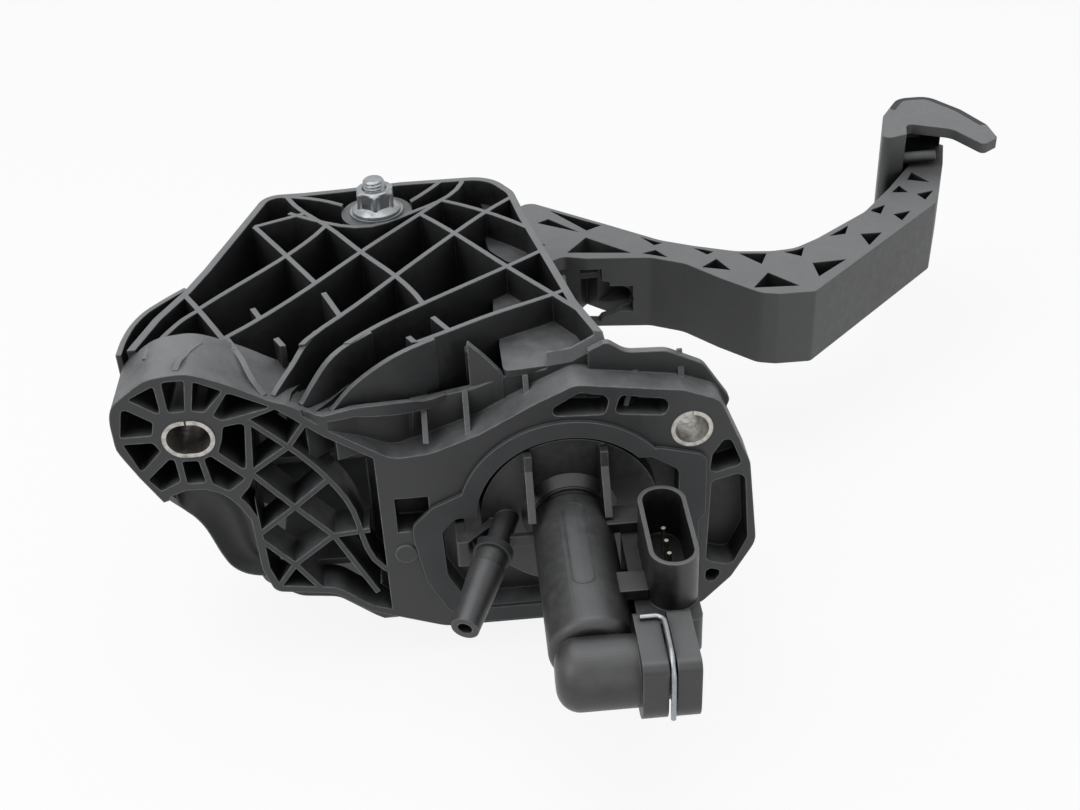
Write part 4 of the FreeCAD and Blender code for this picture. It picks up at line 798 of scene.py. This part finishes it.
    def tray(self):
        """Hollow below the fan.

        Straight lines go from the face's rim to the outer edge. Their depth is 1 mm, plus 9 mm
        times the share of the way across, plus 8 mm times the sine of half a turn times that
        share. A second sheet 2 mm behind closes the piece.
        """
        rim, edge = smooth_path(TRAY_RIM, 40), smooth_path(TRAY_EDGE, 40)
        part = np.linspace(0, 1, 16)
        across = rim[:, None] * (1 - part)[None, :, None] + edge[:, None] * part[None, :, None]
        depth = np.broadcast_to(1.0 + 9 * part + 8 * np.sin(np.pi * part), across.shape[:2])
        front = np.stack([across[..., 0], depth, across[..., 1]], axis=-1)
        back = front + np.array([0.6, 2.0, -0.6])
        rows = np.concatenate([front, back[:, ::-1]], axis=1)
        return sheet_mesh("fan_tray", rows * MM)


# the window in the arm's side, x and z, and how far it reaches in y
ARM_WINDOW = [
    (6, 10), (27.3, 11), (27.3, 5.6), (30.5, 4.8), (30.5, 2.6), (35, 2.2), (38.7, 0.1),
    (40.5, -3.4), (38.7, -6.9), (34.4, -9), (31.9, -10.5), (27.6, -12.2), (26.3, -14), (6, -14),
]
WINDOW_DEPTHS = (130, 156)


class CLUTCH_PEDAL_OT_arm(bpy.types.Operator):
    """Open the window in the arm's side, and copy the return spring on to the bracket"""

    bl_idname = "clutch_pedal.arm"
    bl_label = "Arm and spring"

    def execute(self, context):
        window = plate("window_cutter", [np.array(ARM_WINDOW, float)], *WINDOW_DEPTHS)
        arm = cut_copy("pedal_arm", "arm_moulding", [window])
        show("arm_moulding", arm, "pedal", finish_of("pedal_plastic"),
             ["pedal_arm"])
        coil = cut_copy("piston_spring", "return_spring", [], least=100)
        spring = show("return_spring", coil, "bracket",
                      finish_of("spring_steel"), ["piston_spring"])
        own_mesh(spring)
        return {"FINISHED"}


class CLUTCH_PEDAL_OT_bolt(bpy.types.Operator):
    """Make the pivot bolt, with its thread, chamfered end and flange head"""

    bl_idname = "clutch_pedal.bolt"
    bl_label = "Pivot bolt"

    def execute(self, context):
        sizes = context.scene.clutch_pedal_sizes
        low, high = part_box("pivot_bolt")
        nut_low, nut_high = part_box("pivot_nut")
        show("bolt_with_thread", self.surface(sizes, low, high, nut_low.z), "bracket",
             finish_of("zinc_steel"), ["pivot_bolt"])
        return {"FINISHED"}

    def surface(self, sizes, low, high, thread_start):
        """Radius by height and direction.

        The head is a hexagon cut by a cone, the flange a circle, the shank a circle, and the
        thread a ridge whose height follows the fraction of a turn left at that height.
        """
        shank = 4 * MM
        head = 8 * MM
        turn = np.linspace(0, 2 * np.pi, 96, endpoint=False)
        hexagon = hexagon_radius(turn, sizes.hex_flats)
        rows = []

        def row(z, radius):
            rows.append(around_pivot(turn, np.broadcast_to(radius, turn.shape),
                                     np.full(turn.shape, z)))

        for up, cone in ((0.0, 0.92), (0.25, 0.985), (0.7, 1.04), (1.2, 1.2)):
            row(low.z + up * MM, np.minimum(hexagon, sizes.hex_flats / 2 * cone))
        row(low.z + head - 3.2 * MM, hexagon)
        row(low.z + head - 2.6 * MM, sizes.hex_flange * 0.9)
        row(low.z + head - 1.2 * MM, sizes.hex_flange)
        row(low.z + head - 0.2 * MM, sizes.hex_flange)
        row(low.z + head, sizes.hex_flange - 0.2 * MM)
        row(low.z + head, shank)
        row(thread_start - 0.5 * MM, shank)
        steps = np.arange(thread_start, high.z - 0.1 * MM, sizes.thread_pitch / 10)
        for z in steps:
            left = (z / sizes.thread_pitch - turn / (2 * np.pi)) % 1
            ridge = np.clip(np.abs(left - 0.5) * 2.6 - 0.15, 0, 1)
            end = np.clip((high.z - z) / (0.9 * MM), 0, 1)
            top = shank - 0.9 * MM * (1 - end)
            row(z, np.minimum(shank - sizes.thread_depth * (1 - ridge), top))
        row(high.z, shank - 1.1 * MM)
        return sheet_mesh("bolt_with_thread", np.array(rows))


class CLUTCH_PEDAL_OT_nut(bpy.types.Operator):
    """Make the flange nut with its chamfered corners and countersunk bore"""

    bl_idname = "clutch_pedal.nut"
    bl_label = "Flange nut"

    def execute(self, context):
        sizes = context.scene.clutch_pedal_sizes
        low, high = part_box("pivot_nut")
        show("flange_nut", self.surface(sizes, low.z, high.z), "bracket",
             finish_of("zinc_steel"), ["pivot_nut"])
        return {"FINISHED"}

    def surface(self, sizes, low, high):
        """Closed band: up the outside, over the top, down the bore and back under the flange.

        Between the flange and the top the radius is the hexagon's, cut by a cone at both ends.
        """
        turn = np.linspace(0, 2 * np.pi, 96, endpoint=False)
        hexagon = hexagon_radius(turn, sizes.hex_flats)
        flats = sizes.hex_flats / 2
        bore = 3.95 * MM
        flange = sizes.hex_flange
        profile = [
            (low, flange - 0.3 * MM), (low + 0.2 * MM, flange), (low + 0.9 * MM, flange),
            (low + 1.2 * MM, flange - 0.25 * MM),
            (low + 2.3 * MM, np.maximum(hexagon, flats * 1.12)), (low + 2.8 * MM, hexagon),
            (high - 1.6 * MM, hexagon), (high - 1.0 * MM, np.minimum(hexagon, flats * 1.1)),
            (high - 0.35 * MM, np.minimum(hexagon, flats)),
            (high, np.minimum(hexagon, flats * 0.9)), (high, bore + 0.7 * MM),
            (high - 0.7 * MM, bore), (low, bore),
        ]
        z = np.array([row[0] for row in profile])[:, None] * np.ones(turn.shape)
        radius = np.array([np.broadcast_to(row[1], turn.shape) for row in profile])
        return sheet_mesh("flange_nut", around_pivot(turn, radius, z), rows_wrap=True)


class CLUTCH_PEDAL_OT_clip(bpy.types.Operator):
    """Bend the sprung wire that holds the line socket"""

    bl_idname = "clutch_pedal.clip"
    bl_label = "Line clip"

    def execute(self, context):
        sizes = context.scene.clutch_pedal_sizes
        low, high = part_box("line_clip")
        x = high.x - sizes.clip_wire / 2
        top = high.z - sizes.clip_wire / 2
        near = low.y + sizes.clip_wire / 2 + 0.12 * MM
        start = low.x + sizes.clip_wire / 2
        corners = [
            (start, OUTLET_Y + 8 * MM, top), (start + 2.5 * MM, OUTLET_Y + 8 * MM, top),
            (x - 2 * MM, OUTLET_Y + 7.9 * MM, top), (x - 0.4 * MM, OUTLET_Y + 6.8 * MM, top),
            (x, OUTLET_Y + 4.5 * MM, top), (x, OUTLET_Y - 2 * MM, top),
            (x, OUTLET_Y - 8 * MM, top - 0.3 * MM), (x, near + 1.2 * MM, top - 3.2 * MM),
            (x, near, top - 8 * MM), (x, near, low.z + sizes.clip_wire),
        ]
        path = smooth_path(corners, 90)
        points = carried(path, sizes.clip_wire / 2, up=(0.3, 0.5, -0.8))
        show("line_clip_wire", sheet_mesh("line_clip_wire", points), "bracket",
             finish_of("spring_steel"), ["line_clip"])
        return {"FINISHED"}


class CLUTCH_PEDAL_OT_cylinder_marks(bpy.types.Operator):
    """Add the flared root and the raised outline on the cylinder"""

    bl_idname = "clutch_pedal.cylinder_marks"
    bl_label = "Cylinder details"

    def execute(self, context):
        sizes = context.scene.clutch_pedal_sizes
        finish = finish_of("cylinder_plastic")
        show("cylinder_root", self.root(), "bracket", finish)
        show("cylinder_outline", self.outline(sizes), "bracket", finish)
        return {"FINISHED"}

    def root(self):
        """Collar round the cylinder's neck: a quarter of a hollow curve from neck to flange."""
        turn = np.linspace(0, 2 * np.pi, 96, endpoint=False)
        bend = np.linspace(0, np.pi / 2, 12)
        reach = 4 * MM
        neck = 12.0 * MM
        # how far the collar's hidden faces reach into the neck and the flange
        sunk = 0.6 * MM
        y = np.concatenate([[-reach], -reach * np.cos(bend), [sunk, sunk]])
        radius = np.concatenate([[neck - sunk], neck + reach * (1 - np.sin(np.pi / 2 - bend)),
                                 [neck + reach, neck - sunk]])
        points = np.stack([radius[:, None] * np.cos(turn), y[:, None] * np.ones(turn.shape),
                           radius[:, None] * np.sin(turn)], axis=-1)
        return sheet_mesh("cylinder_root", points, rows_wrap=True)

    def outline(self, sizes):
        """Raised line round a long oval, wrapped on the cylinder.

        The oval is two half circles 32 mm apart; its height is the cylinder's circle over x.
        """
        turn = np.linspace(0, 2 * np.pi, 72, endpoint=False) + 0.01
        half = 3.3 * MM
        x = half * np.cos(turn) - 0.3 * MM
        y = (-31 + 16 * np.sign(np.sin(turn))) * MM + half * np.sin(turn)
        radius = 13 * MM
        path = np.stack([x, y, np.sqrt(radius ** 2 - x ** 2)], axis=-1)
        width = sizes.mould_line / 2
        ahead = np.roll(path, -1, axis=0) - np.roll(path, 1, axis=0)
        ahead /= np.linalg.norm(ahead, axis=1, keepdims=True)
        out = np.stack([x / radius, np.zeros_like(x), path[:, 2] / radius], axis=-1)
        side = np.cross(ahead, out)
        side /= np.linalg.norm(side, axis=1, keepdims=True)
        round_it = np.linspace(0, 2 * np.pi, 6, endpoint=False)
        ring = side[:, None] * np.cos(round_it)[None, :, None]
        ring = ring + out[:, None] * np.sin(round_it)[None, :, None]
        return sheet_mesh("cylinder_outline", path[:, None] + ring * width, rows_wrap=True)


class CLUTCH_PEDAL_OT_stage(bpy.types.Operator):
    """Set the floor, the lights and the camera of the photograph"""

    bl_idname = "clutch_pedal.stage"
    bl_label = "Floor, light and camera"

    def execute(self, context):
        look = context.scene.clutch_pedal_colours
        scene = context.scene
        reach = 3.0
        z = CAD_BOX[0][2] - 0.05 * MM
        mesh = bpy.data.meshes.new("studio_floor")
        corners = [(-reach, -reach, z), (reach, -reach, z), (reach, reach, z), (-reach, reach, z)]
        mesh.from_pydata(corners, [], [(0, 1, 2, 3)])
        floor = bpy.data.objects.new("studio_floor", mesh)
        scene.collection.objects.link(floor)
        mesh.materials.append(self.paper(look.floor))
        self.world(scene)
        self.lamp("ceiling_light", (-0.1, 0.05, 1.0), (0.0, 0.05, 0.0), 1.1, 4.6)
        self.lamp("window_light", (-0.9, -0.35, 0.75), (0.0, 0.03, 0.02), 0.6, 3.4)
        self.lamp("front_light", (0.25, -1.1, 0.5), (0.0, 0.0, 0.0), 0.8, 1.6)
        self.camera(scene)
        scene.view_settings.view_transform = "Standard"
        return {"FINISHED"}

    def paper(self, colour):
        """White paper that the camera sees as white, and that keeps a soft shadow."""
        material = blank("white studio paper")
        tree = material.node_tree
        share = add(tree, "ShaderNodeMath", {0: seen_rays(tree), 1: 0.88},
                    operation="MULTIPLY").outputs[0]
        paper = add(tree, "ShaderNodeBsdfDiffuse", {"Color": rgba(colour, 0.95)})
        glow = add(tree, "ShaderNodeEmission", {"Color": rgba(colour), "Strength": 1.0})
        both = add(tree, "ShaderNodeMixShader", {0: share, 1: paper.outputs[0], 2: glow.outputs[0]})
        add(tree, "ShaderNodeOutputMaterial", {"Surface": both.outputs[0]})
        return material

    def world(self, scene):
        """Even pale surroundings, white where the camera or a gloss sees them."""
        world = bpy.data.worlds.new("studio_surroundings")
        scene.world = world
        world.use_nodes = True
        tree = world.node_tree
        tree.nodes.clear()
        strength = add(tree, "ShaderNodeMapRange", {
            "Value": seen_rays(tree), "To Min": 0.42}).outputs["Result"]
        glow = add(tree, "ShaderNodeBackground", {"Color": (1, 1, 1, 1), "Strength": strength})
        add(tree, "ShaderNodeOutputWorld", {"Surface": glow.outputs[0]})

    def lamp(self, name, place, target, size, watts):
        """Square softbox aimed at a point."""
        data = bpy.data.lights.new(name, "AREA")
        data.shape = "SQUARE"
        data.size = size
        data.energy = watts
        lamp = bpy.data.objects.new(name, data)
        lamp.location = place
        lamp.rotation_euler = (Vector(target) - Vector(place)).to_track_quat("-Z", "Y").to_euler()
        bpy.context.scene.collection.objects.link(lamp)

    def camera(self, scene):
        """Camera that was solved from the photograph: its place, its axes and its lens."""
        data = bpy.data.cameras.new("photo_camera")
        # the focal length is 1457 pixels of a picture that is 1080 pixels wide
        data.sensor_width = 36
        data.lens = 1457 * 36 / 1080
        data.clip_start = 0.01
        data.clip_end = 20
        camera = bpy.data.objects.new("photo_camera", data)
        right = Vector((0.99589493, -0.0826315, -0.03695024))
        up = Vector((0.07715747, 0.56151551, 0.82386107))
        ahead = Vector((0.04732874, 0.82333005, -0.56558608))
        turned = camera.matrix_world.copy()
        turned.col[0][:3] = right
        turned.col[1][:3] = up
        turned.col[2][:3] = -ahead
        turned.translation = Vector((-0.029903, -0.375524, 0.301520))
        camera.matrix_world = turned
        scene.collection.objects.link(camera)
        scene.camera = camera


class CLUTCH_PEDAL_PT_panel(bpy.types.Panel):
    """Lists the sizes, the colours and the pieces of the clutch pedal"""

    bl_idname = "CLUTCH_PEDAL_PT_panel"
    bl_label = "Clutch pedal"
    bl_space_type = "VIEW_3D"
    bl_region_type = "UI"
    bl_category = "Clutch pedal"

    def draw(self, context):
        layout = self.layout
        for group in (context.scene.clutch_pedal_sizes, context.scene.clutch_pedal_colours):
            for name in group.bl_rna.properties.keys():
                if name not in ("rna_type", "name"):
                    layout.prop(group, name)
        for piece in PIECES:
            layout.operator(piece.bl_idname)


PIECES = (
    CLUTCH_PEDAL_OT_nodes, CLUTCH_PEDAL_OT_bracket, CLUTCH_PEDAL_OT_arm, CLUTCH_PEDAL_OT_bolt,
    CLUTCH_PEDAL_OT_nut, CLUTCH_PEDAL_OT_clip, CLUTCH_PEDAL_OT_cylinder_marks,
    CLUTCH_PEDAL_OT_stage,
)
CLASSES = (ClutchPedalSizes, ClutchPedalColours) + PIECES + (CLUTCH_PEDAL_PT_panel,)


def register():
    for kind in CLASSES:
        bpy.utils.register_class(kind)
    bpy.types.Scene.clutch_pedal_sizes = bpy.props.PointerProperty(type=ClutchPedalSizes)
    bpy.types.Scene.clutch_pedal_colours = bpy.props.PointerProperty(type=ClutchPedalColours)


def unregister():
    del bpy.types.Scene.clutch_pedal_colours
    del bpy.types.Scene.clutch_pedal_sizes
    for kind in reversed(CLASSES):
        bpy.utils.unregister_class(kind)


def main():
    register()
    bpy.ops.clutch_pedal.nodes()
    bpy.ops.clutch_pedal.bracket()
    bpy.ops.clutch_pedal.arm()
    bpy.ops.clutch_pedal.bolt()
    bpy.ops.clutch_pedal.nut()
    bpy.ops.clutch_pedal.clip()
    bpy.ops.clutch_pedal.cylinder_marks()
    bpy.ops.clutch_pedal.stage()


if __name__ == "__main__":
    main()
